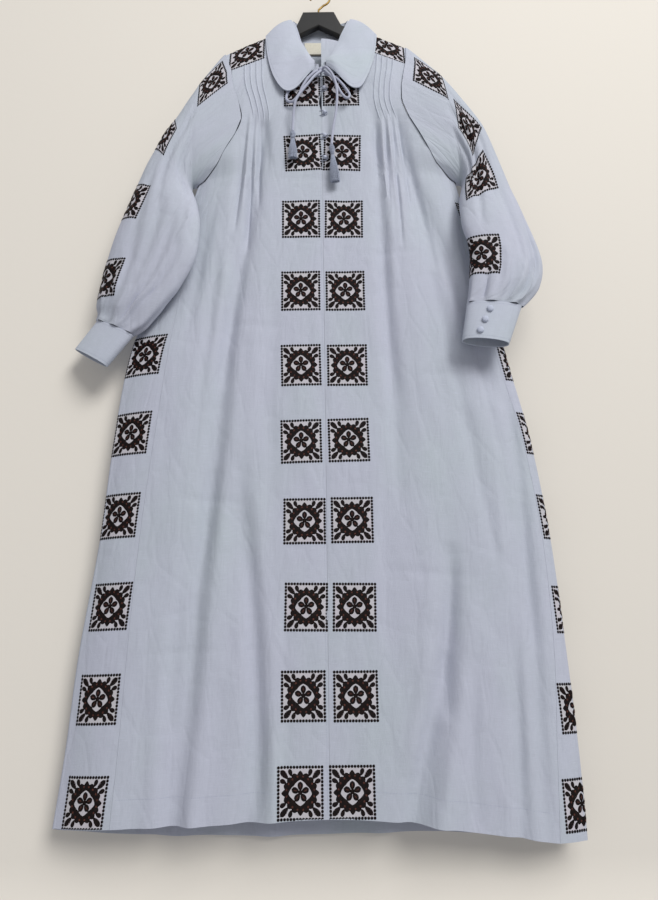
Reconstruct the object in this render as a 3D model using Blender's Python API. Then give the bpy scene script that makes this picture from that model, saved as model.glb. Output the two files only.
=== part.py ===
# Embroidered shirt dress on a hanger, as thin cloth walls at real size, in metres.
# The origin is the seat of the hanger's hook. +X is the right of the photo, the front faces -Y, +Z is up.

import math
from collections import namedtuple

import bmesh
import bpy
from mathutils import Vector

CLOTH = 0.0012  # one layer of linen
DOUBLE_CLOTH = 0.0020  # collar, stand and cuffs
SEAM_GAP = 0.0003
HALF_GAP = SEAM_GAP / 2
STEP = 1e-4  # spacing for slopes worked out by differences

# Shoulders: the cloth's top line falls both ways from the middle, over the hanger's arms
RIDGE_TOP = -0.0740
RIDGE_SLOPE = 0.5095
RIDGE_SOFT = 0.030
RIDGE_RADIUS = 0.0085
RIDGE_TURN = math.radians(75)
FRONT_YOKE_LEFT = 0.068
FRONT_YOKE_RIGHT = 0.060
BACK_YOKE_HEIGHT = -0.280

# Body below the arms
UNDERARM = -0.445
FOLD_RADIUS = 0.006
MIDDLE_DEPTH = 0.000
SIDE_EASE = 0.045
TUCK_RELEASE = -0.322
TUCK_RAISE = 0.0016
TUCK_COUNT = 4
FIRST_TUCK = 0.66
TUCK_SPACING = 0.065
TUCK_FADE = 0.012

# Outline of the body: the fold at each side, the front seam of each side strip, and how far the
# strip reaches round behind the fold
Body = namedtuple("Body", "height left_behind left_edge left_seam right_seam right_edge right_behind")
BODY = [
    Body(-0.445, 0.055, -0.2340, -0.2220, 0.2385, 0.2500, 0.059),
    Body(-0.500, 0.053, -0.2510, -0.2310, 0.2465, 0.2625, 0.058),
    Body(-0.600, 0.046, -0.2850, -0.2460, 0.2580, 0.2880, 0.056),
    Body(-0.700, 0.036, -0.3200, -0.2600, 0.2760, 0.3070, 0.055),
    Body(-0.800, 0.030, -0.3490, -0.2740, 0.3020, 0.3230, 0.059),
    Body(-0.950, 0.026, -0.3670, -0.2910, 0.3365, 0.3530, 0.077),
    Body(-1.120, 0.024, -0.3800, -0.3070, 0.3566, 0.3730, 0.085),
    Body(-1.300, 0.022, -0.4020, -0.3165, 0.3596, 0.3832, 0.079),
    Body(-1.450, 0.021, -0.4130, -0.3230, 0.3495, 0.3890, 0.063),
    Body(-1.590, 0.021, -0.4280, -0.3300, 0.3410, 0.3905, 0.052),
]

# Armhole edge of the fronts, from the yoke seam to the underarm
Armhole = namedtuple("Armhole", "height left right")
ARMHOLE = [
    Armhole(-0.170, -0.1760, 0.1660),
    Armhole(-0.210, -0.1740, 0.1620),
    Armhole(-0.230, -0.1730, 0.1580),
    Armhole(-0.255, -0.1690, 0.1540),
    Armhole(-0.290, -0.1580, 0.1530),
    Armhole(-0.325, -0.1520, 0.1650),
    Armhole(-0.360, -0.1640, 0.1830),
    Armhole(-0.390, -0.1810, 0.1970),
    Armhole(-0.420, -0.1970, 0.2120),
    Armhole(-0.445, -0.2220, 0.2385),
]

# How far the front and the back stand from the middle plane, away from the side folds
Depth = namedtuple("Depth", "height front back")
DEPTH = [
    Depth(-0.110, 0.0100, 0.0120),
    Depth(-0.150, 0.0165, 0.0170),
    Depth(-0.190, 0.0210, 0.0180),
    Depth(-0.235, 0.0290, 0.0180),
    Depth(-0.300, 0.0320, 0.0175),
    Depth(-0.450, 0.0320, 0.0170),
    Depth(-0.900, 0.0300, 0.0190),
    Depth(-1.300, 0.0320, 0.0220),
    Depth(-1.600, 0.0340, 0.0260),
]

# Hem heights, front and back, across the dress
Hem = namedtuple("Hem", "across front back")
HEM = [
    Hem(-0.430, -1.5530, -1.5560),
    Hem(-0.330, -1.5480, -1.5680),
    Hem(-0.245, -1.5460, -1.5710),
    Hem(-0.110, -1.5410, -1.5740),
    Hem(0.000, -1.5370, -1.5730),
    Hem(0.100, -1.5430, -1.5710),
    Hem(0.250, -1.5620, -1.5720),
    Hem(0.337, -1.5760, -1.5790),
    Hem(0.400, -1.5830, -1.5850),
]

# Folds: the course of each through three points, its half width, and how deep it is on the way
# (plus for a trough, minus for a ridge)
Fold = namedtuple("Fold", "top top_x mid mid_x low low_x half_width top_depth mid_depth low_depth")
FRONT_FOLDS = [
    Fold(-0.340, -0.112, -0.880, -0.190, -1.600, -0.240, 0.020, 0.003, 0.007, 0.012),
    Fold(-0.700, -0.130, -1.100, -0.178, -1.600, -0.214, 0.018, 0.000, -0.004, -0.009),
    Fold(-1.000, -0.162, -1.280, -0.108, -1.600, -0.136, 0.019, 0.000, 0.006, 0.011),
    Fold(-1.150, -0.100, -1.350, -0.082, -1.600, -0.104, 0.017, 0.000, -0.003, -0.007),
    Fold(-1.150, -0.270, -1.350, -0.282, -1.600, -0.294, 0.018, 0.000, 0.002, 0.005),
    Fold(-0.326, -0.124, -0.390, -0.121, -0.500, -0.122, 0.007, 0.005, 0.004, 0.000),
    Fold(-0.326, -0.110, -0.400, -0.102, -0.480, -0.099, 0.007, 0.005, 0.004, 0.000),
    Fold(-0.326, 0.101, -0.560, 0.108, -1.250, 0.106, 0.011, 0.007, 0.005, 0.000),
    Fold(-0.326, 0.142, -0.620, 0.192, -1.000, 0.244, 0.017, 0.005, 0.005, 0.000),
    Fold(-0.340, 0.120, -0.640, 0.152, -1.000, 0.186, 0.018, -0.003, -0.003, 0.000),
    Fold(-1.140, 0.203, -1.330, 0.181, -1.600, 0.112, 0.020, 0.000, 0.007, 0.012),
    Fold(-1.200, 0.236, -1.380, 0.204, -1.600, 0.150, 0.018, 0.000, -0.004, -0.009),
    Fold(-0.950, 0.305, -1.200, 0.300, -1.600, 0.284, 0.014, 0.002, 0.005, 0.009),
]
BACK_FOLDS = [
    Fold(-0.320, -0.080, -0.900, -0.180, -1.620, -0.240, 0.026, 0.003, 0.006, 0.009),
    Fold(-0.320, -0.020, -0.900, -0.060, -1.620, -0.090, 0.024, 0.004, 0.006, 0.008),
    Fold(-0.320, 0.030, -0.900, 0.055, -1.620, 0.080, 0.024, 0.004, 0.005, 0.008),
    Fold(-0.320, 0.085, -0.900, 0.160, -1.620, 0.220, 0.026, 0.003, 0.006, 0.009),
]

# Neck edge of fronts and yoke, from the centre front round the left side and the back to the
# centre front again: place across, and distance round the shoulder (minus in front, plus behind)
Neck = namedtuple("Neck", "along across around")
NECK = [
    Neck(0.000, -0.0004, -0.1692),
    Neck(0.050, -0.0200, -0.1603),
    Neck(0.100, -0.0400, -0.1324),
    Neck(0.150, -0.0560, -0.0990),
    Neck(0.200, -0.0660, -0.0680),
    Neck(0.225, -0.0700, -0.0450),
    Neck(0.250, -0.0728, -0.0250),
    Neck(0.270, -0.0738, -0.0111),
    Neck(0.285, -0.0740, -0.0055),
    Neck(0.300, -0.0740, 0.0000),
    Neck(0.315, -0.0740, 0.0055),
    Neck(0.330, -0.0735, 0.0111),
    Neck(0.365, -0.0660, 0.0240),
    Neck(0.420, -0.0420, 0.0360),
    Neck(0.500, 0.0000, 0.0420),
    Neck(0.580, 0.0420, 0.0360),
    Neck(0.635, 0.0660, 0.0240),
    Neck(0.670, 0.0735, 0.0111),
    Neck(0.685, 0.0740, 0.0055),
    Neck(0.700, 0.0740, 0.0000),
    Neck(0.715, 0.0740, -0.0055),
    Neck(0.730, 0.0738, -0.0111),
    Neck(0.750, 0.0728, -0.0250),
    Neck(0.775, 0.0700, -0.0420),
    Neck(0.800, 0.0660, -0.0600),
    Neck(0.850, 0.0560, -0.0950),
    Neck(0.900, 0.0400, -0.1300),
    Neck(0.950, 0.0200, -0.1595),
    Neck(1.000, 0.0004, -0.1690),
]

# Outer edge of the yoke: up the left front, over the shoulder, down the back, across and back again
YokeEdge = namedtuple("YokeEdge", "along across around")
YOKE_EDGE = [
    YokeEdge(0.200, -0.1745, -0.0680),
    YokeEdge(0.225, -0.1810, -0.0450),
    YokeEdge(0.250, -0.1865, -0.0250),
    YokeEdge(0.270, -0.1895, -0.0111),
    YokeEdge(0.285, -0.1900, -0.0055),
    YokeEdge(0.300, -0.1900, 0.0000),
    YokeEdge(0.315, -0.1900, 0.0055),
    YokeEdge(0.330, -0.1895, 0.0111),
    YokeEdge(0.350, -0.1880, 0.0270),
    YokeEdge(0.370, -0.1840, 0.0550),
    YokeEdge(0.395, -0.1760, 0.1000),
    YokeEdge(0.420, -0.1700, 0.1410),
    YokeEdge(0.460, -0.0900, 0.1800),
    YokeEdge(0.500, 0.0000, 0.2180),
    YokeEdge(0.540, 0.0900, 0.1800),
    YokeEdge(0.580, 0.1580, 0.1470),
    YokeEdge(0.605, 0.1620, 0.1000),
    YokeEdge(0.630, 0.1650, 0.0550),
    YokeEdge(0.650, 0.1670, 0.0270),
    YokeEdge(0.670, 0.1680, 0.0111),
    YokeEdge(0.685, 0.1680, 0.0055),
    YokeEdge(0.700, 0.1680, 0.0000),
    YokeEdge(0.715, 0.1680, -0.0055),
    YokeEdge(0.730, 0.1680, -0.0111),
    YokeEdge(0.750, 0.1675, -0.0250),
    YokeEdge(0.775, 0.1665, -0.0420),
    YokeEdge(0.800, 0.1640, -0.0600),
]

# Roll line of the collar, and the edge of its leaves as place across and distance round the shoulder
Leaf = namedtuple("Leaf", "along roll_x roll_y roll_z edge_across edge_around edge_lift")
COLLAR = [
    Leaf(0.010, -0.0120, -0.0370, -0.2030, -0.0125, -0.1524, 0.0100),
    Leaf(0.045, -0.0170, -0.0330, -0.1940, -0.0230, -0.1650, 0.0110),
    Leaf(0.085, -0.0260, -0.0285, -0.1740, -0.0340, -0.1777, 0.0115),
    Leaf(0.110, -0.0310, -0.0255, -0.1630, -0.0470, -0.1900, 0.0115),
    Leaf(0.135, -0.0350, -0.0225, -0.1520, -0.0620, -0.1911, 0.0110),
    Leaf(0.170, -0.0427, -0.0190, -0.1368, -0.0780, -0.1720, 0.0100),
    Leaf(0.205, -0.0475, -0.0165, -0.1174, -0.0940, -0.1277, 0.0065),
    Leaf(0.240, -0.0525, -0.0125, -0.0966, -0.1050, -0.0685, 0.0050),
    Leaf(0.270, -0.0572, -0.0070, -0.0800, -0.1095, -0.0170, 0.0045),
    Leaf(0.285, -0.0590, -0.0035, -0.0735, -0.1103, -0.0075, 0.0042),
    Leaf(0.300, -0.0600, 0.0000, -0.0690, -0.1105, 0.0000, 0.0040),
    Leaf(0.315, -0.0600, 0.0035, -0.0665, -0.1100, 0.0075, 0.0042),
    Leaf(0.330, -0.0590, 0.0075, -0.0650, -0.1090, 0.0170, 0.0045),
    Leaf(0.365, -0.0540, 0.0160, -0.0620, -0.0990, 0.0360, 0.0045),
    Leaf(0.430, -0.0310, 0.0260, -0.0590, -0.0620, 0.0700, 0.0040),
    Leaf(0.500, 0.0000, 0.0300, -0.0580, 0.0000, 0.0930, 0.0035),
    Leaf(0.570, 0.0310, 0.0260, -0.0590, 0.0620, 0.0700, 0.0040),
    Leaf(0.635, 0.0540, 0.0160, -0.0620, 0.0990, 0.0360, 0.0045),
    Leaf(0.670, 0.0585, 0.0075, -0.0650, 0.1100, 0.0170, 0.0045),
    Leaf(0.685, 0.0595, 0.0035, -0.0665, 0.1115, 0.0075, 0.0042),
    Leaf(0.700, 0.0590, 0.0000, -0.0690, 0.1120, 0.0000, 0.0040),
    Leaf(0.715, 0.0590, -0.0035, -0.0735, 0.1115, -0.0075, 0.0042),
    Leaf(0.730, 0.0572, -0.0070, -0.0800, 0.1105, -0.0170, 0.0045),
    Leaf(0.760, 0.0525, -0.0125, -0.0966, 0.1050, -0.0685, 0.0050),
    Leaf(0.795, 0.0437, -0.0165, -0.1194, 0.0920, -0.1277, 0.0065),
    Leaf(0.830, 0.0378, -0.0190, -0.1378, 0.0780, -0.1700, 0.0100),
    Leaf(0.865, 0.0310, -0.0225, -0.1540, 0.0660, -0.1840, 0.0110),
    Leaf(0.890, 0.0260, -0.0255, -0.1650, 0.0540, -0.1850, 0.0115),
    Leaf(0.915, 0.0210, -0.0285, -0.1770, 0.0410, -0.1750, 0.0115),
    Leaf(0.955, 0.0130, -0.0330, -0.1920, 0.0260, -0.1600, 0.0110),
    Leaf(0.990, 0.0085, -0.0370, -0.1990, 0.0095, -0.1462, 0.0100),
]
STAND_INSET = 0.0050
STAND_TIP_SHARE = 0.15  # how far across the stand's ends lie, as a share of the roll line's end
STAND_DROP = 0.0030
STAND_LIFT = 0.0028
LEAF_SWELL = 0.0065
LEAF_FULL_LENGTH = 0.045
LEAF_SKEW = 0.7  # below one moves the swell towards the roll line
LEAF_RISE = 0.5  # how far the swell goes up for each bit outwards
HANGER_ROOM = 0.012  # the swell turns forward this much beside the hanger

# Sleeves: the outer and inner edge at each station, and how far the cloth swells to front and back
Sleeve = namedtuple("Sleeve", "along out_x out_y out_z in_x in_y in_z front back")
SLEEVE_LEFT = [
    Sleeve(0.05, -0.2060, -0.001, -0.1760, -0.2400, -0.001, -0.4520, 0.034, 0.0200),
    Sleeve(0.11, -0.2380, -0.004, -0.2320, -0.2440, -0.001, -0.4530, 0.036, 0.0190),
    Sleeve(0.18, -0.2680, -0.008, -0.2900, -0.2460, -0.003, -0.4570, 0.035, 0.0170),
    Sleeve(0.26, -0.3060, -0.012, -0.3600, -0.2455, -0.008, -0.4640, 0.032, 0.0150),
    Sleeve(0.34, -0.3300, -0.014, -0.4150, -0.2400, -0.018, -0.4790, 0.028, 0.0130),
    Sleeve(0.45, -0.3500, -0.014, -0.4750, -0.2280, -0.037, -0.5180, 0.025, 0.0115),
    Sleeve(0.56, -0.3720, -0.012, -0.5320, -0.2210, -0.049, -0.5680, 0.024, 0.0120),
    Sleeve(0.68, -0.3930, -0.009, -0.6030, -0.2270, -0.053, -0.6300, 0.025, 0.0120),
    Sleeve(0.79, -0.4070, -0.004, -0.6700, -0.2500, -0.048, -0.6790, 0.026, 0.0120),
    Sleeve(0.88, -0.4110, 0.000, -0.6930, -0.2800, -0.042, -0.7160, 0.024, 0.0120),
    Sleeve(0.95, -0.4090, 0.004, -0.7080, -0.3120, -0.033, -0.7480, 0.019, 0.0120),
    Sleeve(1.00, -0.4120, 0.006, -0.7190, -0.3360, -0.028, -0.7600, 0.015, 0.0130),
]
SLEEVE_RIGHT = [
    Sleeve(0.05, 0.1840, -0.001, -0.1640, 0.2560, -0.002, -0.4520, 0.034, 0.0200),
    Sleeve(0.11, 0.2270, -0.004, -0.2100, 0.2600, -0.001, -0.4525, 0.036, 0.0190),
    Sleeve(0.18, 0.2640, -0.009, -0.2650, 0.2625, -0.003, -0.4560, 0.036, 0.0170),
    Sleeve(0.26, 0.3020, -0.014, -0.3330, 0.2630, -0.008, -0.4630, 0.034, 0.0150),
    Sleeve(0.34, 0.3230, -0.018, -0.4000, 0.2590, -0.018, -0.4780, 0.030, 0.0130),
    Sleeve(0.45, 0.3420, -0.024, -0.4720, 0.2490, -0.038, -0.5190, 0.027, 0.0120),
    Sleeve(0.56, 0.3640, -0.030, -0.5430, 0.2470, -0.054, -0.5700, 0.026, 0.0130),
    Sleeve(0.68, 0.3830, -0.038, -0.6130, 0.2540, -0.060, -0.6120, 0.026, 0.0150),
    Sleeve(0.79, 0.3860, -0.044, -0.6570, 0.2540, -0.060, -0.6530, 0.026, 0.0160),
    Sleeve(0.88, 0.3750, -0.048, -0.6920, 0.2510, -0.060, -0.6860, 0.024, 0.0160),
    Sleeve(0.95, 0.3550, -0.051, -0.7170, 0.2480, -0.060, -0.7110, 0.021, 0.0170),
    Sleeve(1.00, 0.3420, -0.053, -0.7290, 0.2460, -0.060, -0.7240, 0.018, 0.0170),
]
CAP_LIFT = 0.0024
PLEATS = 7
PLEAT_DEPTH = 0.0030
PLEAT_START = 0.74

Cuff = namedtuple("Cuff", "out_x out_y out_z in_x in_y in_z front back")
CUFF_LEFT = [
    Cuff(-0.4100, 0.006, -0.7200, -0.3350, -0.028, -0.7610, 0.0145, 0.0125),
    Cuff(-0.4480, 0.010, -0.7730, -0.3810, -0.021, -0.8150, 0.0160, 0.0140),
]
CUFF_RIGHT = [
    Cuff(0.3412, -0.053, -0.7291, 0.2463, -0.060, -0.7241, 0.0175, 0.0165),
    Cuff(0.3140, -0.055, -0.7990, 0.2340, -0.058, -0.7910, 0.0200, 0.0180),
]
CUFF_GAP = 0.0004
CUFF_LENGTH = 0.07

# Covered buttons: cuffs and centre front
CUFF_BUTTON_RADIUS = 0.0056
CUFF_BUTTON_HEIGHT = 0.0040
CUFF_BUTTONS = 3
CUFF_BUTTON_FIRST = 0.22  # share of the cuff's height
CUFF_BUTTON_STEP = 0.29
CUFF_BUTTON_TURN_RIGHT = 0.27  # share of the way round from the outer edge
CUFF_BUTTON_TURN_LEFT = 0.76
CUFF_BUTTON_DRIFT = 0.055  # the right cuff's row leans this much round on its way down
CUFF_BUTTON_CLEARANCE = 0.0009
BUTTON_PROFILE = ((1.0, 0.0), (1.0, 0.45), (0.80, 0.82))  # share of the radius, share of the height
BUTTON_SIDES = 12
BALL_RADIUS = 0.0038
BALL_X = 0.0050
BALL_HEIGHTS = (-0.262, -0.317, -0.368, -0.415)
LOOP_THICKNESS = 0.0014
LOOP_INSET = 0.0035  # middle of the thread loop, left of the ball's middle
LOOP_REACH = 0.0090
LOOP_RISE = 0.0058
LOOP_OPENING = 110  # degrees left open towards the slit
LOOP_POINTS = 7
SLIT_HEIGHT = -0.292
SLIT_HALF_LENGTH = 0.016
SLIT_WIDTH = 0.0050

# Neck tie
TIE_THICKNESS = 0.0050
KNOT_CENTRE = Vector((0.000, -0.0430, -0.2290))
KNOT_RADII = Vector((0.0062, 0.0043, 0.0057))
TIE_LOOP_LEFT = [
    (-0.0068, -0.0441, -0.2321), (-0.0150, -0.0470, -0.2400), (-0.0255, -0.0485, -0.2530),
    (-0.0350, -0.0490, -0.2700), (-0.0430, -0.0475, -0.2880), (-0.0545, -0.0430, -0.2985),
    (-0.0640, -0.0395, -0.2950), (-0.0670, -0.0360, -0.2840), (-0.0630, -0.0350, -0.2700),
    (-0.0510, -0.0347, -0.2560), (-0.0360, -0.0347, -0.2449), (-0.0220, -0.0360, -0.2378),
    (-0.0115, -0.0370, -0.2348), (-0.0047, -0.0381, -0.2315),
]
TIE_LOOP_RIGHT = [
    (0.0064, -0.0441, -0.2327), (0.0180, -0.0460, -0.2460), (0.0270, -0.0465, -0.2620),
    (0.0350, -0.0475, -0.2810), (0.0430, -0.0480, -0.2940), (0.0500, -0.0475, -0.2965),
    (0.0530, -0.0465, -0.2890), (0.0480, -0.0450, -0.2770), (0.0390, -0.0440, -0.2620),
    (0.0290, -0.0420, -0.2480), (0.0190, -0.0395, -0.2390), (0.0115, -0.0372, -0.2345),
    (0.0047, -0.0381, -0.2315),
]
TIE_END_LEFT = [
    (-0.0005, -0.0465, -0.2346), (-0.0120, -0.0520, -0.2500), (-0.0210, -0.0545, -0.2640),
    (-0.0310, -0.0560, -0.2790), (-0.0420, -0.0560, -0.2950), (-0.0490, -0.0545, -0.3090),
    (-0.0525, -0.0490, -0.3270), (-0.0540, -0.0450, -0.3480), (-0.0545, -0.0440, -0.3640),
]
TIE_END_RIGHT = [
    (0.0037, -0.0483, -0.2289), (0.0090, -0.0528, -0.2325), (0.0155, -0.0545, -0.2410),
    (0.0215, -0.0550, -0.2520), (0.0265, -0.0550, -0.2680), (0.0290, -0.0545, -0.2850), (0.0290, -0.0520, -0.3020),
    (0.0265, -0.0480, -0.3280), (0.0210, -0.0450, -0.3600), (0.0175, -0.0440, -0.3940),
]
TIE_STEPS = 2
TASSEL_STRANDS = 22
TASSEL_RUN_LEFT = Vector((0.0005, 0.0, -0.058))
TASSEL_RUN_RIGHT = Vector((0.0060, -0.001, -0.080))
TASSEL_WIDTH_LEFT = 0.019
TASSEL_WIDTH_RIGHT = 0.020
TASSEL_HEAD_RADIUS = 0.0052
TASSEL_SIDES = 10
TASSEL_FLATNESS = 0.62
STRAND_RADIUS = 0.00075
STRAND_SPIRAL = 2.399963  # radians from one strand to the next
STRAND_NECK = 0.0034
# Head and neck of a tassel, as shares of its length and of the head's radius
TASSEL_PROFILE = (
    (0.00, 0.25), (0.04, 0.85), (0.12, 1.00), (0.20, 0.75), (0.24, 0.62), (0.30, 0.80), (0.36, 0.82),
)

# Hanger
HANGER_MIDDLE = -0.0045
HANGER_HALF_WIDTH = 0.1650
HANGER_HALF_THICKNESS = 0.0068
HANGER_CLEARANCE = 0.0023
HANGER_TOP = -0.0540
HANGER_TOP_HALF_WIDTH = 0.0310
HANGER_SHOULDER_HALF_WIDTH = 0.0455
HANGER_APEX = -0.0900
HANGER_UNDER_SLOPE = 0.560
HANGER_ARM_HEIGHT = 0.0300
HANGER_LEAST_HEIGHT = 0.010
HANGER_NECK_REACH = 0.070  # nearer the middle than this, the underside is the straight apex
HANGER_TIP_REACH = 0.150  # further out than this, the arms' ends round up
HANGER_TIP_RISE = 0.012
# Rounding of the arms' upper side: share of the half thickness, and drop
HANGER_ROUND = ((0.0, 0.0), (0.50, 0.0009), (0.84, 0.0030), (1.0, 0.0066))
HANGER_UNDER_ROUND = 0.002
HANGER_STATIONS = (0.015, 0.031, 0.0455, 0.070, 0.095, 0.120, 0.145, 0.158, 0.165)
HOOK_WIRE = 0.0040
HOOK_INNER_RADIUS = 0.0170
HOOK_TURN = (-70, 180)  # degrees of the bend, from the stem to the tip
HOOK_POINTS = 14
# The stem's points above the hanger, as place across from its middle and height
HOOK_STEM = ((0.0, 0.0006), (0.0, 0.0030), (0.0004, 0.0080))
HOOK_TIP = (-0.0015, -0.004)

# Label inside the back neck
LABEL_HALF_WIDTH = 0.0310
LABEL_TOP = -0.1165
LABEL_BOTTOM = -0.1440
LABEL_THICKNESS = 0.0010


def clear_scene():
    for thing in list(bpy.data.objects):
        bpy.data.objects.remove(thing, do_unlink=True)


def material(name, colour, roughness, metallic=0.0):
    made = bpy.data.materials.new(name)
    made.use_nodes = True
    shader = made.node_tree.nodes["Principled BSDF"]
    shader.inputs["Base Color"].default_value = (*colour, 1.0)
    shader.inputs["Roughness"].default_value = roughness
    shader.inputs["Metallic"].default_value = metallic
    made.diffuse_color = (*colour, 1.0)
    return made


def smooth(value):
    value = min(max(value, 0.0), 1.0)
    return value * value * (3 - 2 * value)


def lookup(rows, key, column, at):
    """Value of one column at a place between a table's rows, joined by a smooth curve."""
    places = [getattr(row, key) for row in rows]
    values = [getattr(row, column) for row in rows]
    if places[0] > places[-1]:
        places.reverse()
        values.reverse()
    last = len(places) - 1
    at = min(max(at, places[0]), places[last])
    index = 0
    while index < last - 1 and at > places[index + 1]:
        index += 1

    def slope(i):
        low, high = max(i - 1, 0), min(i + 1, last)
        return (values[high] - values[low]) / (places[high] - places[low])

    span = places[index + 1] - places[index]
    t = (at - places[index]) / span
    start, end = values[index], values[index + 1]
    rise = 3 * t * t - 2 * t * t * t
    bend_in = (t * t * t - 2 * t * t + t) * span
    bend_out = (t * t * t - t * t) * span
    return start + (end - start) * rise + slope(index) * bend_in + slope(index + 1) * bend_out


def straight(rows, key, column, at):
    """Value of one column at a place between a table's rows, joined by straight lines."""
    for before, after in zip(rows, rows[1:]):
        low, high = getattr(before, key), getattr(after, key)
        if min(low, high) <= at <= max(low, high):
            share = (at - low) / (high - low)
            return getattr(before, column) * (1 - share) + getattr(after, column) * share
    nearest = rows[0] if abs(at - getattr(rows[0], key)) < abs(at - getattr(rows[-1], key)) else rows[-1]
    return getattr(nearest, column)


def ridge(x):
    """Height of the shoulder line at a place across."""
    return RIDGE_TOP - RIDGE_SLOPE * (math.hypot(x, RIDGE_SOFT) - RIDGE_SOFT)


RIDGE_ARC = RIDGE_RADIUS * RIDGE_TURN
RIDGE_DROP = RIDGE_RADIUS * (1 - math.cos(RIDGE_TURN))
RIDGE_REACH = RIDGE_RADIUS * math.sin(RIDGE_TURN)
RIDGE_FALL = math.sin(RIDGE_TURN)
SHOULDER_EASE = 0.020


def height_round(x, around):
    """Height of a point at a distance round the shoulder, past the turn over the ridge."""
    return ridge(x) - RIDGE_DROP - (abs(around) - RIDGE_ARC) * RIDGE_FALL


def around_at(x, z):
    """Distance round the shoulder, past its turn, of a point at a height."""
    return RIDGE_ARC + (ridge(x) - z - RIDGE_DROP) / RIDGE_FALL


def fold_depth(folds, x, z):
    depth = 0.0
    for fold in folds:
        if z > fold.top + 0.04 or z < fold.low - 0.02:
            continue
        share = (z - fold.mid) * (z - fold.low) / ((fold.top - fold.mid) * (fold.top - fold.low))
        share_mid = (z - fold.top) * (z - fold.low) / ((fold.mid - fold.top) * (fold.mid - fold.low))
        share_low = (z - fold.top) * (z - fold.mid) / ((fold.low - fold.top) * (fold.low - fold.mid))
        centre = share * fold.top_x + share_mid * fold.mid_x + share_low * fold.low_x
        if z > fold.mid:
            part = (fold.top - z) / (fold.top - fold.mid)
            size = fold.top_depth + (fold.mid_depth - fold.top_depth) * smooth(part)
        else:
            part = (fold.mid - z) / (fold.mid - fold.low)
            size = fold.mid_depth + (fold.low_depth - fold.mid_depth) * smooth(part)
        size *= smooth((fold.top + 0.04 - z) / 0.06)
        depth += size * math.exp(-(((x - centre) / fold.half_width) ** 2))
    return depth


def standing(column, x, z, folds):
    """How far the front or the back stands from the middle plane, with its folds."""
    base = lookup(DEPTH, "height", column, z)
    drop = ridge(x) - z
    if drop < 0.16:
        base = RIDGE_REACH + (base - RIDGE_REACH) * (1 - math.exp(-max(drop - RIDGE_DROP, 0) / SHOULDER_EASE))
    left = lookup(BODY, "height", "left_edge", z) + FOLD_RADIUS
    right = lookup(BODY, "height", "right_edge", z) - FOLD_RADIUS
    inside = max(min(x - left, right - x), 0.0)
    ease = 1 - math.exp(-inside / SIDE_EASE)
    ease = 1 - (1 - ease) * smooth((UNDERARM + 0.05 - z) / 0.05)
    return FOLD_RADIUS + (base - fold_depth(folds, x, z) - FOLD_RADIUS) * ease


def front_y(x, z):
    return MIDDLE_DEPTH - standing("front", x, z, FRONT_FOLDS)


def back_y(x, z):
    return MIDDLE_DEPTH + standing("back", x, z, BACK_FOLDS)


def over_shoulder(x, around, lift=0.0):
    """Point on the shoulders at a place across and a distance round them."""
    sign = -1 if around < 0 else 1
    if abs(around) < RIDGE_ARC:
        angle = abs(around) / RIDGE_RADIUS
        radius = RIDGE_RADIUS + lift
        y = sign * radius * math.sin(angle)
        return Vector((x, y, ridge(x) - RIDGE_RADIUS + radius * math.cos(angle)))
    z = height_round(x, around)
    y = front_y(x, z) - lift if sign < 0 else back_y(x, z) + lift
    return Vector((x, y, z))


def side_wall(side, q, z, lift=0.0):
    """Point on the body near a side fold, at a distance q from it: plus in front, minus behind."""
    column = "left_edge" if side < 0 else "right_edge"
    edge = lookup(BODY, "height", column, z)
    turn = FOLD_RADIUS * math.pi / 2
    if abs(q) < turn:
        angle = q / FOLD_RADIUS
        x = edge - side * (FOLD_RADIUS - (FOLD_RADIUS + lift) * math.cos(angle))
        return Vector((x, MIDDLE_DEPTH - (FOLD_RADIUS + lift) * math.sin(angle), z))
    x = edge - side * (FOLD_RADIUS + abs(q) - turn)
    y = front_y(x, z) - lift if q > 0 else back_y(x, z) + lift
    return Vector((x, y, z))


def strip_reach(side, z):
    """Distances from the side fold to the strip's front seam and to its back seam."""
    edge = lookup(BODY, "height", "left_edge" if side < 0 else "right_edge", z)
    seam = lookup(BODY, "height", "left_seam" if side < 0 else "right_seam", z)
    behind = lookup(BODY, "height", "left_behind" if side < 0 else "right_behind", z)
    return FOLD_RADIUS * math.pi / 2 + abs(edge - seam) - FOLD_RADIUS, -behind


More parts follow.
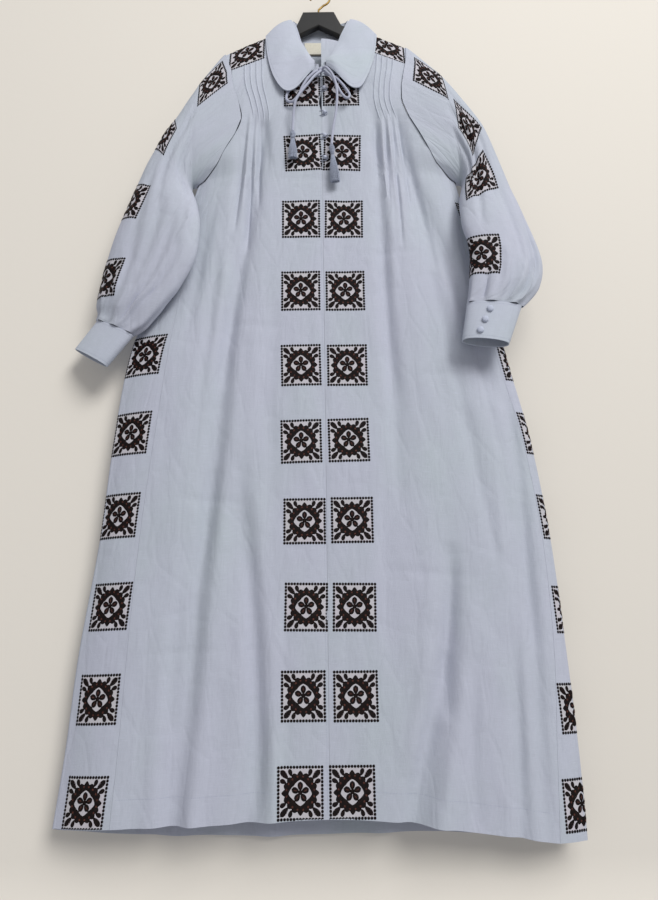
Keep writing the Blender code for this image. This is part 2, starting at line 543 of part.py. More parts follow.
def wall(name, surface, columns, rows, thickness, look, closed=False, turned=False):
    """Thin closed wall through a grid of points, its inner side set in along the surface's own normal."""
    sign = -1 if turned else 1

    def normal(u, v):
        across = surface(u + STEP, v) - surface(u - STEP, v)
        down = surface(u, v + STEP) - surface(u, v - STEP)
        return (across.cross(down) * sign).normalized()

    mesh = bpy.data.meshes.new(name)
    shape = bmesh.new()
    outer = []
    inner = []
    for v in rows:
        outer.append([shape.verts.new(surface(u, v)) for u in columns])
        inner.append([shape.verts.new(surface(u, v) - normal(u, v) * thickness) for u in columns])
    wide = len(columns)
    for j in range(len(rows) - 1):
        for i in range(wide if closed else wide - 1):
            k = (i + 1) % wide
            face = [outer[j][i], outer[j][k], outer[j + 1][k], outer[j + 1][i]]
            back = [inner[j][i], inner[j + 1][i], inner[j + 1][k], inner[j][k]]
            for corners in (face, back):
                shape.faces.new(corners if sign > 0 else corners[::-1])
    for j, flip in ((0, 1), (len(rows) - 1, -1)):
        for i in range(wide if closed else wide - 1):
            k = (i + 1) % wide
            rim = [outer[j][k], outer[j][i], inner[j][i], inner[j][k]]
            shape.faces.new(rim if flip * sign > 0 else rim[::-1])
    if not closed:
        for i, flip in ((0, 1), (wide - 1, -1)):
            for j in range(len(rows) - 1):
                rim = [outer[j][i], outer[j + 1][i], inner[j + 1][i], inner[j][i]]
                shape.faces.new(rim if flip * sign > 0 else rim[::-1])
    shape.to_mesh(mesh)
    shape.free()
    return place(name, mesh, look)


def place(name, mesh, look):
    mesh.shade_smooth()
    mesh.set_sharp_from_angle(angle=math.radians(40))
    mesh.materials.append(look)
    made = bpy.data.objects.new(name, mesh)
    bpy.context.collection.objects.link(made)
    return made


def spread(start, end, count):
    return [start + (end - start) * i / count for i in range(count + 1)]


# Body panels

TUCKS = [FIRST_TUCK + TUCK_SPACING * i for i in range(TUCK_COUNT)]
TUCK_COLUMNS = spread(FIRST_TUCK - TUCK_SPACING / 2, TUCKS[-1] + TUCK_SPACING / 2, 2 * TUCK_COUNT)
FRONT_COLUMNS = [0.0, 0.13, 0.26, 0.37, 0.47, 0.56] + TUCK_COLUMNS + [0.945, 1.0]
ARM_ROWS = [0.0, 0.09, 0.20, 0.33, 0.46, 0.58, 0.70, 0.80, 0.90, 1.0]
SKIRT_ROWS = [0.04, 0.09, 0.16, 0.24, 0.33, 0.42, 0.51, 0.60, 0.69, 0.77, 0.85, 0.92, 0.97, 1.0]


def front_top(side, x):
    """Height of a front's top edge: the neck edge, then the yoke seam."""
    rows = NECK[:5] if side < 0 else NECK[14:]
    reach = abs(rows[-1].across) if side < 0 else abs(rows[0].across)
    if abs(x) < reach:
        return height_round(x, lookup(rows, "across", "around", x))
    return height_round(x, FRONT_YOKE_LEFT if side < 0 else FRONT_YOKE_RIGHT)


def front_side(side, z):
    """Place across of a front's outer edge: the armhole, then the strip's seam."""
    if z > UNDERARM:
        return lookup(ARMHOLE, "height", "left" if side < 0 else "right", z)
    return lookup(BODY, "height", "left_seam" if side < 0 else "right_seam", z)


def tuck_raise(u, z):
    """The pin tucks stand up as narrow ridges as far as their release."""
    first, last = TUCK_COLUMNS[0], TUCK_COLUMNS[-1]
    if u < first or u > last:
        return 0.0
    wave = 0.5 - 0.5 * math.cos(2 * math.pi * (u - first) / TUCK_SPACING)
    return TUCK_RAISE * wave * smooth((z - TUCK_RELEASE + TUCK_FADE) / TUCK_FADE)


def front_surface(side):
    def surface(u, v):
        x = u * front_side(side, UNDERARM)
        for _ in range(5):
            top = front_top(side, x) - HALF_GAP
            x = u * front_side(side, top)
        x_low = u * front_side(side, HEM[0].front)
        for _ in range(3):
            low = lookup(HEM, "across", "front", x_low)
            x_low = u * front_side(side, low)
        z = top + (UNDERARM - top) * v if v < 1 else UNDERARM + (low - UNDERARM) * (v - 1)
        edge = front_side(side, z) - side * HALF_GAP
        slit = SLIT_WIDTH * math.exp(-(((z - SLIT_HEIGHT) / SLIT_HALF_LENGTH) ** 2)) if side < 0 else 0
        centre = side * HALF_GAP - slit * (1 - smooth(u / 0.3))
        x = centre * (1 - u) + edge * u
        return Vector((x, front_y(x, z) - tuck_raise(u, z), z))

    return surface


def build_front(name, side, look):
    rows = ARM_ROWS + [1 + share for share in SKIRT_ROWS]
    return wall(name, front_surface(side), FRONT_COLUMNS, rows, CLOTH, look, turned=side > 0)


def strip_top(q):
    """Height of a side strip's top edge: it rises towards the back."""
    return UNDERARM - HALF_GAP + 0.030 * smooth(-q / 0.075)


def strip_foot(side, front):
    """Place across and height of a strip's front or back seam at the hem."""
    column = "front" if front else "back"
    low = lookup(HEM, "across", column, side * 0.4)
    for _ in range(3):
        q = strip_reach(side, low)[0 if front else 1]
        foot = side_wall(side, q, low).x
        low = lookup(HEM, "across", column, foot)
    return foot, low


FOLD_FROM = 0.36
FOLD_TO = 0.78
FOLD_MARGIN = 0.004


def strip_place(side, u, z):
    """Distance from the side fold, with the turn of the fold always on the same columns."""
    front, back = strip_reach(side, z)
    turn = FOLD_RADIUS * math.pi / 2
    start = front - HALF_GAP
    end = back + HALF_GAP
    enter = min(turn, start - FOLD_MARGIN)
    leave = max(-turn, end + FOLD_MARGIN)
    if u < FOLD_FROM:
        return start + (enter - start) * u / FOLD_FROM
    if u < FOLD_TO:
        return enter + (leave - enter) * (u - FOLD_FROM) / (FOLD_TO - FOLD_FROM)
    return leave + (end - leave) * (u - FOLD_TO) / (1 - FOLD_TO)


def strip_surface(side):
    front_low = strip_foot(side, True)[1]
    back_low = strip_foot(side, False)[1]

    def surface(u, v):
        top = strip_top(strip_place(side, u, UNDERARM))
        low = front_low + (back_low - front_low) * u
        z = top + (low - top) * v
        return side_wall(side, strip_place(side, u, z), z)

    return surface


STRIP_COLUMNS = spread(0.0, FOLD_FROM, 3)[:-1] + spread(FOLD_FROM, FOLD_TO, 5)[:-1] + spread(FOLD_TO, 1.0, 2)


def build_strip(name, side, look):
    return wall(name, strip_surface(side), STRIP_COLUMNS, [0.0] + SKIRT_ROWS, CLOTH, look, turned=side > 0)


BACK_COLUMNS = [0.0, 0.006, 0.012, 0.030] + spread(0.09, 1.0, 13)
BACK_ARM_ROWS = [0.0, 0.33, 0.67, 1.0]
BACK_TOP_LEFT = -0.1700
BACK_TOP_RIGHT = 0.1580


def back_surface(u, v):
    """The back hangs from the yoke seam, between the armholes and then between the strips' back seams."""
    turn = FOLD_RADIUS * math.pi / 2
    left_top = strip_top(strip_reach(-1, UNDERARM)[1])
    right_top = strip_top(strip_reach(1, UNDERARM)[1])
    corner = left_top + (right_top - left_top) * u
    top = BACK_YOKE_HEIGHT - HALF_GAP
    left_foot, right_foot = strip_foot(-1, False)[0], strip_foot(1, False)[0]
    low = lookup(HEM, "across", "back", left_foot + (right_foot - left_foot) * u)
    z = top + (corner - top) * v if v <= 1 else corner + (low - corner) * (v - 1)
    whole = lookup(BODY, "height", "right_edge", z) - lookup(BODY, "height", "left_edge", z)
    whole += 2 * (turn - FOLD_RADIUS)
    start = HALF_GAP - strip_reach(-1, z)[1]
    end = whole + strip_reach(1, z)[1] - HALF_GAP
    if v < 1:
        start_top = BACK_TOP_LEFT - lookup(BODY, "height", "left_edge", z) + turn - FOLD_RADIUS
        end_top = whole - (lookup(BODY, "height", "right_edge", z) - BACK_TOP_RIGHT) - turn + FOLD_RADIUS
        start += (start_top - start) * (1 - v)
        end += (end_top - end) * (1 - v)
    along = start + (end - start) * u
    if along < whole / 2:
        return side_wall(-1, -along, z)
    return side_wall(1, along - whole, z)


def build_back(look):
    rows = BACK_ARM_ROWS + [1 + share for share in SKIRT_ROWS]
    return wall("back", back_surface, BACK_COLUMNS, rows, CLOTH, look, turned=True)


# Yoke, stand and collar

def yoke_surface(u, v):
    along = 0.2 + 0.6 * u
    neck_x = lookup(NECK, "along", "across", along)
    neck_around = lookup(NECK, "along", "around", along)
    edge_x = straight(YOKE_EDGE, "along", "across", along)
    edge_around = straight(YOKE_EDGE, "along", "around", along)
    if 0.42 < along < 0.58:
        edge_around = around_at(edge_x, BACK_YOKE_HEIGHT)
    if edge_around > BACK_CORNER:
        edge_around -= HALF_GAP
    x = neck_x + (edge_x - neck_x) * v
    around = neck_around + (edge_around - neck_around) * v
    return over_shoulder(x, around)


def marks_between(rows, low, high, widest):
    """Columns at each row of a table, and between rows that lie far apart, as shares of a stretch."""
    inside = [row.along for row in rows if low < row.along < high]
    places = [low] + inside + [high]
    columns = []
    for before, after in zip(places, places[1:]):
        parts = max(1, round((after - before) / widest))
        columns += [before + (after - before) * k / parts for k in range(parts)]
    return [(place_on - low) / (high - low) for place_on in columns + [high]]


def build_yoke(look):
    columns = marks_between(YOKE_EDGE, 0.2, 0.8, 0.025)
    return wall("yoke", yoke_surface, columns, spread(0.0, 1.0, 5), CLOTH, look)


def roll_point(along):
    return Vector([lookup(COLLAR, "along", column, along) for column in ("roll_x", "roll_y", "roll_z")])


STAND_START = 0.004
COLLAR_START = COLLAR[0].along
COLLAR_END = COLLAR[-1].along


def stand_surface(u, v):
    along = STAND_START + (1 - 2 * STAND_START) * u
    place_on = lookup(NECK, "along", "across", along), lookup(NECK, "along", "around", along)
    foot = over_shoulder(*place_on, STAND_LIFT)
    head = roll_point(min(max(along, COLLAR_START), COLLAR_END))
    if along < COLLAR_START or along > COLLAR_END:
        share = min(along, 1 - along) / COLLAR_START
        head.x *= STAND_TIP_SHARE + (1 - STAND_TIP_SHARE) * share
    head -= Vector((head.x, head.y, 0)).normalized() * STAND_INSET + Vector((0, 0, STAND_DROP))
    return foot + (head - foot) * v


def build_stand(look):
    columns = marks_between(NECK, STAND_START, 1 - STAND_START, 0.026)
    return wall("collar_stand", stand_surface, columns, [0.0, 0.5, 1.0], DOUBLE_CLOTH, look, turned=True)


def collar_surface(u, v):
    along = COLLAR_START + (COLLAR_END - COLLAR_START) * u
    roll = roll_point(along)
    edge_columns = ("edge_across", "edge_around", "edge_lift")
    edge = over_shoulder(*[lookup(COLLAR, "along", column, along) for column in edge_columns])
    point = roll + (edge - roll) * v
    fullness = min((edge - roll).length / LEAF_FULL_LENGTH, 1)
    swell = LEAF_SWELL * math.sin(math.pi * max(v, 0) ** LEAF_SKEW) * fullness
    outward = Vector((roll.x, roll.y - HANGER_ROOM if roll.y < 0.01 else roll.y, 0)).normalized()
    return point + outward * swell + Vector((0, 0, LEAF_RISE * swell))


def build_collar(look):
    columns = marks_between(COLLAR, COLLAR_START, COLLAR_END, 0.024)
    return wall("collar", collar_surface, columns, spread(0.0, 1.0, 5), DOUBLE_CLOTH, look)


# Sleeves and cuffs

# The sleeve's first ring round the side fold: distance from the fold, and drop below the armhole
Lap = namedtuple("Lap", "reach drop")
LAPS = [
    Lap(0.0210, -0.0060),
    Lap(0.0125, 0.0010),
    Lap(0.0060, 0.0050),
    Lap(0.0000, 0.0065),
    Lap(-0.0060, 0.0040),
    Lap(-0.0125, -0.0020),
    Lap(-0.0250, -0.0090),
    Lap(-0.0400, -0.0190),
    Lap(-0.0560, -0.0340),
]


BACK_CORNER = 0.13  # distance round the shoulder where the yoke's back seam starts
RING_BACK_SHARES = (0.35, 0.7)


def armhole_ring(side):
    """First ring of a sleeve: laid over the armhole's edge, down the front and up the back."""
    rows = YOKE_EDGE if side < 0 else YOKE_EDGE[::-1]
    front = [row for row in rows[:len(rows) // 2] if row.around <= 0]
    back = [row for row in rows[:len(rows) // 2] if 0 < row.around < BACK_CORNER]
    points = [over_shoulder(row.across, row.around, CAP_LIFT) for row in reversed(front)]
    for row in ARMHOLE[2:-1]:
        x = row.left if side < 0 else row.right
        points.append(Vector((x, front_y(x, row.height) - CAP_LIFT, row.height)))
    for lap in LAPS:
        points.append(side_wall(side, lap.reach, UNDERARM - lap.drop, CAP_LIFT))
    corner = points[-1]
    low = over_shoulder(back[-1].across, back[-1].around, CAP_LIFT)
    for share in RING_BACK_SHARES:
        x = corner.x + (low.x - corner.x) * share
        z = corner.z + (low.z - corner.z) * share
        points.append(Vector((x, back_y(x, z) + CAP_LIFT, z)))
    points += [over_shoulder(row.across, row.around, CAP_LIFT) for row in reversed(back)]
    return points


BLUNTNESS = 0.85  # below one makes the sleeve's edges rounder


def loop_section(row, angle, growth=0.0):
    """Point on a flattened ring between an outer and an inner edge, swelling to front and back."""
    outer = Vector((row.out_x, row.out_y, row.out_z))
    inner = Vector((row.in_x, row.in_y, row.in_z))
    half = (outer - inner) / 2
    front = Vector((0, -1, 0))
    front -= half.normalized() * front.dot(half.normalized())
    front.normalize()
    across = math.cos(angle)
    forward = math.copysign(abs(math.sin(angle)) ** BLUNTNESS, math.sin(angle))
    size = (row.front if forward > 0 else row.back) + growth
    return (outer + inner) / 2 + half * across * (1 + growth / half.length) + front * forward * size


def row_between(rows, kind, along):
    """A table row worked out between two others."""
    columns = [column for column in kind._fields if column != "along"]
    values = {column: lookup(rows, "along", column, along) for column in columns}
    return kind(along=along, **values)


SLEEVE_ROWS = [0.0, 0.05, 0.11, 0.18, 0.26, 0.35, 0.45, 0.55, 0.65, 0.74, 0.81, 0.87, 0.92, 0.96, 1.0]
SLEEVE_HEAD = 0.11
HEAD_PUSH = 0.024  # how strongly the cloth leaves the armhole outwards
HEAD_FALL = 0.25


def sleeve_turns(ring):
    """Angle round the sleeve's loops of each point of its first ring, going by the point's height."""
    heights = [point.z for point in ring]
    top, foot = max(heights), min(heights)
    lowest = heights.index(foot)
    turns = []
    for i, z in enumerate(heights):
        angle = math.acos(min(max(2 * (z - foot) / (top - foot) - 1, -1), 1))
        turns.append(angle if i <= lowest else 2 * math.pi - angle)
    return turns


def sleeve_surface(side):
    rows = SLEEVE_LEFT if side < 0 else SLEEVE_RIGHT
    ring = armhole_ring(side)
    turns = sleeve_turns(ring)
    count = len(ring)
    push = Vector((side, 0, -HEAD_FALL)).normalized() * HEAD_PUSH
    head = row_between(rows, Sleeve, SLEEVE_HEAD)

    def surface(u, v):
        place_on = (u % 1.0) * count
        index = int(place_on) % count
        share = place_on - int(place_on)
        after = (index + 1) % count
        angle = turns[index] + ((turns[after] or 2 * math.pi) - turns[index]) * share
        along = max(v, 0.0)
        if along >= SLEEVE_HEAD:
            pleats = math.cos(PLEATS * angle) * smooth((along - PLEAT_START) / (1 - PLEAT_START))
            return loop_section(row_between(rows, Sleeve, along), angle, PLEAT_DEPTH * pleats)
        start = ring[index].lerp(ring[after], share)
        end = loop_section(head, angle)
        t = along / SLEEVE_HEAD
        rise = 3 * t * t - 2 * t * t * t
        bend = t * t * t - 2 * t * t + t
        return start + (end - start) * rise + push * bend

    return surface, count


def build_sleeve(name, side, look):
    surface, count = sleeve_surface(side)
    columns = [i / count for i in range(count)]
    return wall(name, surface, columns, SLEEVE_ROWS, CLOTH, look, closed=True, turned=side < 0)


def cuff_surface(side):
    top, low = CUFF_LEFT if side < 0 else CUFF_RIGHT

    def surface(u, v):
        angle = 2 * math.pi * u
        return loop_section(top, angle).lerp(loop_section(low, angle), v)

    return surface


def build_cuff(name, side, look):
    surface = cuff_surface(side)
    columns = spread(0.0, 1.0, 28)[:-1]
    rows = [CUFF_GAP / CUFF_LENGTH, 0.5, 1.0]
    return wall(name, surface, columns, rows, DOUBLE_CLOTH, look, closed=True, turned=side < 0)


# Buttons and thread loops

def button(name, centre, facing, look):
    """A covered button: a low dome on a straight rim, its back just clear of the cloth."""
    mesh = bpy.data.meshes.new(name)
    shape = bmesh.new()
    rings = []
    for wide, high in BUTTON_PROFILE:
        ring = []
        for i in range(BUTTON_SIDES):
            angle = 2 * math.pi * i / BUTTON_SIDES
            radius = CUFF_BUTTON_RADIUS * wide
            spot = (radius * math.cos(angle), radius * math.sin(angle), CUFF_BUTTON_HEIGHT * high)
            ring.append(shape.verts.new(spot))
        rings.append(ring)
    for low, high in zip(rings, rings[1:]):
        for i in range(BUTTON_SIDES):
            k = (i + 1) % BUTTON_SIDES
            shape.faces.new((low[i], low[k], high[k], high[i]))
    crown = shape.verts.new((0, 0, CUFF_BUTTON_HEIGHT))
    for i in range(BUTTON_SIDES):
        shape.faces.new((rings[-1][i], rings[-1][(i + 1) % BUTTON_SIDES], crown))
    shape.faces.new(rings[0][::-1])
    turn = Vector((0, 0, 1)).rotation_difference(facing).to_matrix().to_4x4()
    bmesh.ops.transform(shape, matrix=turn, verts=shape.verts)
    bmesh.ops.translate(shape, vec=centre, verts=shape.verts)
    shape.to_mesh(mesh)
    shape.free()
    return place(name, mesh, look)


def build_cuff_buttons(side, word, look):
    """Three buttons in a row along the cuff's opening: on the right cuff in front, on the left behind."""
    surface = cuff_surface(side)
    turn = CUFF_BUTTON_TURN_RIGHT if side > 0 else CUFF_BUTTON_TURN_LEFT
    for number in range(CUFF_BUTTONS):
        v = CUFF_BUTTON_FIRST + CUFF_BUTTON_STEP * number
        u = turn + (CUFF_BUTTON_DRIFT * v if side > 0 else 0)
        across = surface(u + STEP, v) - surface(u - STEP, v)
        down = surface(u, v + STEP) - surface(u, v - STEP)
        facing = across.cross(down).normalized()
        if side < 0:
            facing.negate()
        centre = surface(u, v) + facing * CUFF_BUTTON_CLEARANCE
        button(f"cuff_button_{word}_{number + 1}", centre, facing, look)


def build_front_buttons(look, thread):
    for number, height in enumerate(BALL_HEIGHTS, start=1):
        y = front_y(BALL_X, height) - BALL_RADIUS - SEAM_GAP
        mesh = bpy.data.meshes.new(f"front_button_{number}")
        shape = bmesh.new()
        bmesh.ops.create_uvsphere(shape, u_segments=10, v_segments=6, radius=BALL_RADIUS)
        bmesh.ops.translate(shape, vec=(BALL_X, y, height), verts=shape.verts)
        shape.to_mesh(mesh)
        shape.free()
        place(f"front_button_{number}", mesh, look)
        bow = []
        for angle in spread(-180 + LOOP_OPENING / 2, 180 - LOOP_OPENING / 2, LOOP_POINTS - 1):
            x = BALL_X - LOOP_INSET + LOOP_REACH * math.cos(math.radians(angle))
            z = height + LOOP_RISE * math.sin(math.radians(angle))
            bow.append((x, front_y(x, z) - LOOP_THICKNESS / 2 - SEAM_GAP, z))
        cord(f"front_loop_{number}", bow, LOOP_THICKNESS, thread, 1, 1)


# Neck tie

def cord(name, points, thickness, look, steps, sides):
    """A round cord through hand-placed points, its own points read off a smooth curve through them."""
    places = [Vector(point) for point in points]
    path = []
    for i in range(len(places) - 1):
        before = places[max(i - 1, 0)]
        start, end = places[i], places[i + 1]
        after = places[min(i + 2, len(places) - 1)]
        for k in range(steps):
            t = k / steps
            path.append(0.5 * (2 * start + (end - before) * t
                               + (2 * before - 5 * start + 4 * end - after) * t * t
                               + (3 * start - before - 3 * end + after) * t * t * t))
    path.append(places[-1])
    curve = bpy.data.curves.new(name, "CURVE")
    curve.dimensions = "3D"
    curve.bevel_depth = thickness / 2
    curve.bevel_resolution = sides
    curve.use_fill_caps = True
    spline = curve.splines.new("POLY")
    spline.points.add(len(path) - 1)
    for point, at in zip(spline.points, path):
        point.co = (*at, 1.0)
    curve.materials.append(look)
    made = bpy.data.objects.new(name, curve)
    bpy.context.collection.objects.link(made)
    return made


def build_knot(look):
    mesh = bpy.data.meshes.new("tie_knot")
    shape = bmesh.new()
    bmesh.ops.create_uvsphere(shape, u_segments=12, v_segments=8, radius=1.0)
    bmesh.ops.scale(shape, vec=KNOT_RADII, verts=shape.verts)
    bmesh.ops.translate(shape, vec=KNOT_CENTRE, verts=shape.verts)
    shape.to_mesh(mesh)
    shape.free()
    place("tie_knot", mesh, look)


def tassel_head(name, length, look):
    """Round head and neck of a tassel, pointing down from the origin."""
    mesh = bpy.data.meshes.new(name)
    shape = bmesh.new()
    rings = []
    for drop, wide in TASSEL_PROFILE:
        ring = []
        for i in range(TASSEL_SIDES):
            angle = 2 * math.pi * i / TASSEL_SIDES
            radius = TASSEL_HEAD_RADIUS * wide
            ring.append(shape.verts.new((radius * math.cos(angle), radius * math.sin(angle), -length * drop)))
        rings.append(ring)
    for high, low in zip(rings, rings[1:]):
        for i in range(TASSEL_SIDES):
            k = (i + 1) % TASSEL_SIDES
            shape.faces.new((high[i], low[i], low[k], high[k]))
    shape.faces.new(rings[0])
    shape.faces.new(rings[-1][::-1])
    shape.to_mesh(mesh)
    shape.free()
    return place(name, mesh, look)


def tassel_skirt(name, length, width):
    """Strands of three sides that open out from the neck, of slightly unequal lengths."""
    mesh = bpy.data.meshes.new(name)
    shape = bmesh.new()
    for i in range(TASSEL_STRANDS):
        ring_size = 0.42 if i % 3 == 0 else 0.86
        angle = STRAND_SPIRAL * i
        shorter = 0.03 * ((i * 7) % 5) / 5
        spots = (
            (0.33, ring_size * STRAND_NECK),
            (0.62, ring_size * 0.42 * width),
            (1.0 - shorter, ring_size * 0.5 * width),
        )
        rings = []
        for drop, radius in spots:
            ring = []
            for k in range(3):
                turn = angle + 2 * math.pi * k / 3
                x = radius * math.cos(angle) + STRAND_RADIUS * math.cos(turn)
                y = TASSEL_FLATNESS * radius * math.sin(angle) + STRAND_RADIUS * math.sin(turn)
                ring.append(shape.verts.new((x, y, -length * drop)))
            rings.append(ring)
        for high, low in zip(rings, rings[1:]):
            for k in range(3):
                n = (k + 1) % 3
                shape.faces.new((high[k], low[k], low[n], high[n]))
        shape.faces.new(rings[0])
        shape.faces.new(rings[-1][::-1])
    shape.to_mesh(mesh)
    shape.free()
    made = bpy.data.objects.new(name, mesh)
    bpy.context.collection.objects.link(made)
    made.hide_render = True
    made.display_type = "WIRE"
    return made


def tassel(name, top, run, width, look):
    """A tassel from its top along its run, its strands fused into its head."""
    head = tassel_head(name, run.length, look)
    skirt = tassel_skirt(name + "_strands", run.length, width)
    for thing in (head, skirt):
        turn = Vector((0, 0, -1)).rotation_difference(run.normalized()).to_matrix().to_4x4()
        thing.data.transform(turn)
        thing.data.transform(turn.Translation(top))
    join = head.modifiers.new("strands", "BOOLEAN")
    join.operation = "UNION"
    join.solver = "EXACT"
    join.use_self = True
    join.object = skirt
    return head


def build_tie(look, fringe):
    build_knot(look)
    cord("tie_loop_left", TIE_LOOP_LEFT, TIE_THICKNESS, look, TIE_STEPS, 2)
    cord("tie_loop_right", TIE_LOOP_RIGHT, TIE_THICKNESS, look, TIE_STEPS, 2)
    cord("tie_end_left", TIE_END_LEFT, TIE_THICKNESS, look, TIE_STEPS, 2)
    cord("tie_end_right", TIE_END_RIGHT, TIE_THICKNESS, look, TIE_STEPS, 2)
    below = Vector((0, 0, -SEAM_GAP))
    left = Vector(TIE_END_LEFT[-1]) + below
    right = Vector(TIE_END_RIGHT[-1]) + below
    tassel("tassel_left", left, TASSEL_RUN_LEFT, TASSEL_WIDTH_LEFT, fringe)
    tassel("tassel_right", right, TASSEL_RUN_RIGHT, TASSEL_WIDTH_RIGHT, fringe)


# Label, hanger and hook

def label_surface(u, v):
    x = HANGER_MIDDLE / 2 + LABEL_HALF_WIDTH * (2 * u - 1)
    z = LABEL_TOP + (LABEL_BOTTOM - LABEL_TOP) * v
    return Vector((x, back_y(x, z) - CLOTH - SEAM_GAP, z))


def build_label(look):
    return wall("neck_label", label_surface, spread(0.0, 1.0, 8), [0.0, 0.5, 1.0], LABEL_THICKNESS, look)


def hanger_outline(x):
    """Top and bottom of the hanger at a place across."""
    off = abs(x - HANGER_MIDDLE)
    arm_top = ridge(x) - HANGER_CLEARANCE
    start = ridge(HANGER_MIDDLE + math.copysign(HANGER_SHOULDER_HALF_WIDTH, x)) - HANGER_CLEARANCE
    if off <= HANGER_TOP_HALF_WIDTH:
        top = HANGER_TOP
    elif off <= HANGER_SHOULDER_HALF_WIDTH:
        share = (off - HANGER_TOP_HALF_WIDTH) / (HANGER_SHOULDER_HALF_WIDTH - HANGER_TOP_HALF_WIDTH)
        top = HANGER_TOP + (start - HANGER_TOP) * share
    else:
        top = arm_top
    low = min(HANGER_APEX - HANGER_UNDER_SLOPE * off, top - HANGER_LEAST_HEIGHT)
    if off > HANGER_NECK_REACH:
        low = max(low, arm_top - HANGER_ARM_HEIGHT)
    if off > HANGER_TIP_REACH:
        low += HANGER_TIP_RISE * ((off - HANGER_TIP_REACH) / (HANGER_HALF_WIDTH - HANGER_TIP_REACH)) ** 2
    return top, low


def build_hanger(look, metal):
    places = [HANGER_MIDDLE - off for off in reversed(HANGER_STATIONS)] + [HANGER_MIDDLE]
    places += [HANGER_MIDDLE + off for off in HANGER_STATIONS]
    mesh = bpy.data.meshes.new("hanger_body")
    shape = bmesh.new()
    rings = []
    for x in places:
        top, low = hanger_outline(x)
        section = [(share * HANGER_HALF_THICKNESS, top - drop) for share, drop in HANGER_ROUND]
        section += [(HANGER_HALF_THICKNESS, low + HANGER_UNDER_ROUND), (HANGER_HALF_THICKNESS * 0.75, low)]
        ring = [shape.verts.new((x, y, z)) for y, z in section]
        ring += [shape.verts.new((x, -y, z)) for y, z in reversed(section[1:])]
        rings.append(ring)
    size = len(rings[0])
    for left, right in zip(rings, rings[1:]):
        for i in range(size):
            k = (i + 1) % size
            shape.faces.new((left[i], right[i], right[k], left[k]))
    shape.faces.new(rings[0])
    shape.faces.new(rings[-1][::-1])
    shape.to_mesh(mesh)
    shape.free()
    place("hanger_body", mesh, look)

    radius = HOOK_INNER_RADIUS + HOOK_WIRE / 2
    centre = Vector((0.0, 0.0, HOOK_WIRE / 2 - radius))
    path = [(HANGER_MIDDLE + across, 0, HANGER_TOP + up) for across, up in HOOK_STEM]
    for angle in spread(*HOOK_TURN, HOOK_POINTS - 1):
        turn = math.radians(angle)
        path.append((centre.x + radius * math.cos(turn), 0, centre.z + radius * math.sin(turn)))
    path.append((centre.x - radius + HOOK_TIP[0], 0, centre.z + HOOK_TIP[1]))
    cord("hanger_hook", path, HOOK_WIRE, metal, 1, 2)


def build():
    clear_scene()
    linen = {}
    for name in ("front_left", "front_right", "side_left", "side_right", "back", "yoke", "stand", "collar",
                 "sleeve_left", "sleeve_right", "cuff_left", "cuff_right", "button", "tie"):
        linen[name] = material("linen_" + name, (0.46, 0.50, 0.57), 0.85)
    thread = material("thread", (0.50, 0.54, 0.62), 0.80)
    fringe = material("fringe", (0.48, 0.52, 0.60), 0.80)
    cream = material("label", (0.80, 0.78, 0.68), 0.75)
    black = material("hanger_black", (0.012, 0.011, 0.013), 0.35)
    brass = material("aged_brass", (0.30, 0.24, 0.13), 0.35, 1.0)

    build_front("front_left", -1, linen["front_left"])
    build_front("front_right", 1, linen["front_right"])
    build_strip("side_left", -1, linen["side_left"])
    build_strip("side_right", 1, linen["side_right"])
    build_back(linen["back"])
    build_yoke(linen["yoke"])
    build_stand(linen["stand"])
    build_collar(linen["collar"])
    build_sleeve("sleeve_left", -1, linen["sleeve_left"])
    build_sleeve("sleeve_right", 1, linen["sleeve_right"])
    build_cuff("cuff_left", -1, linen["cuff_left"])
    build_cuff("cuff_right", 1, linen["cuff_right"])
    build_cuff_buttons(-1, "left", linen["button"])
    build_cuff_buttons(1, "right", linen["button"])
    build_front_buttons(linen["button"], thread)
    build_tie(linen["tie"], fringe)
    build_label(cream)
    build_hanger(black, brass)


build()
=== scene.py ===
# Looks of the embroidered shirt dress: fine cloth shells on the frame's own form, with creases, stitching,
# embroidery, tie and tassels, in metres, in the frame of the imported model.

import math
from collections import namedtuple
from functools import lru_cache

import bmesh
import bpy
import numpy as np
from mathutils import Matrix, Vector, noise
from mathutils.bvhtree import BVHTree


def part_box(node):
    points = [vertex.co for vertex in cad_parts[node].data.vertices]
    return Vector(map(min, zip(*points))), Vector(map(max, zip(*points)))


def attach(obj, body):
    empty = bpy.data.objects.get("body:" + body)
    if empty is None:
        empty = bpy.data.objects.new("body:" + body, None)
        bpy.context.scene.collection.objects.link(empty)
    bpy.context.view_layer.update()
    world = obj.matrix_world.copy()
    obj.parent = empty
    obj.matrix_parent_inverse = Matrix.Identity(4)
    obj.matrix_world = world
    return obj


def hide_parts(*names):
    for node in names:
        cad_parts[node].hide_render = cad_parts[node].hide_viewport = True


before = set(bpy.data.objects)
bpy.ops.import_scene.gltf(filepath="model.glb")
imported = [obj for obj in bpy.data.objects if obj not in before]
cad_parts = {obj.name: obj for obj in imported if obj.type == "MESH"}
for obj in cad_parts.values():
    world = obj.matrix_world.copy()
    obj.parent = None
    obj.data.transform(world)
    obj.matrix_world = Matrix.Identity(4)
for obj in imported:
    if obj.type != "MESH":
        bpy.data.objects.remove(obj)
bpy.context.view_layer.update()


# Camera: the photo's viewpoint, a little above half height and pitched up.
# The sleeves' motifs are placed by where it sees them.

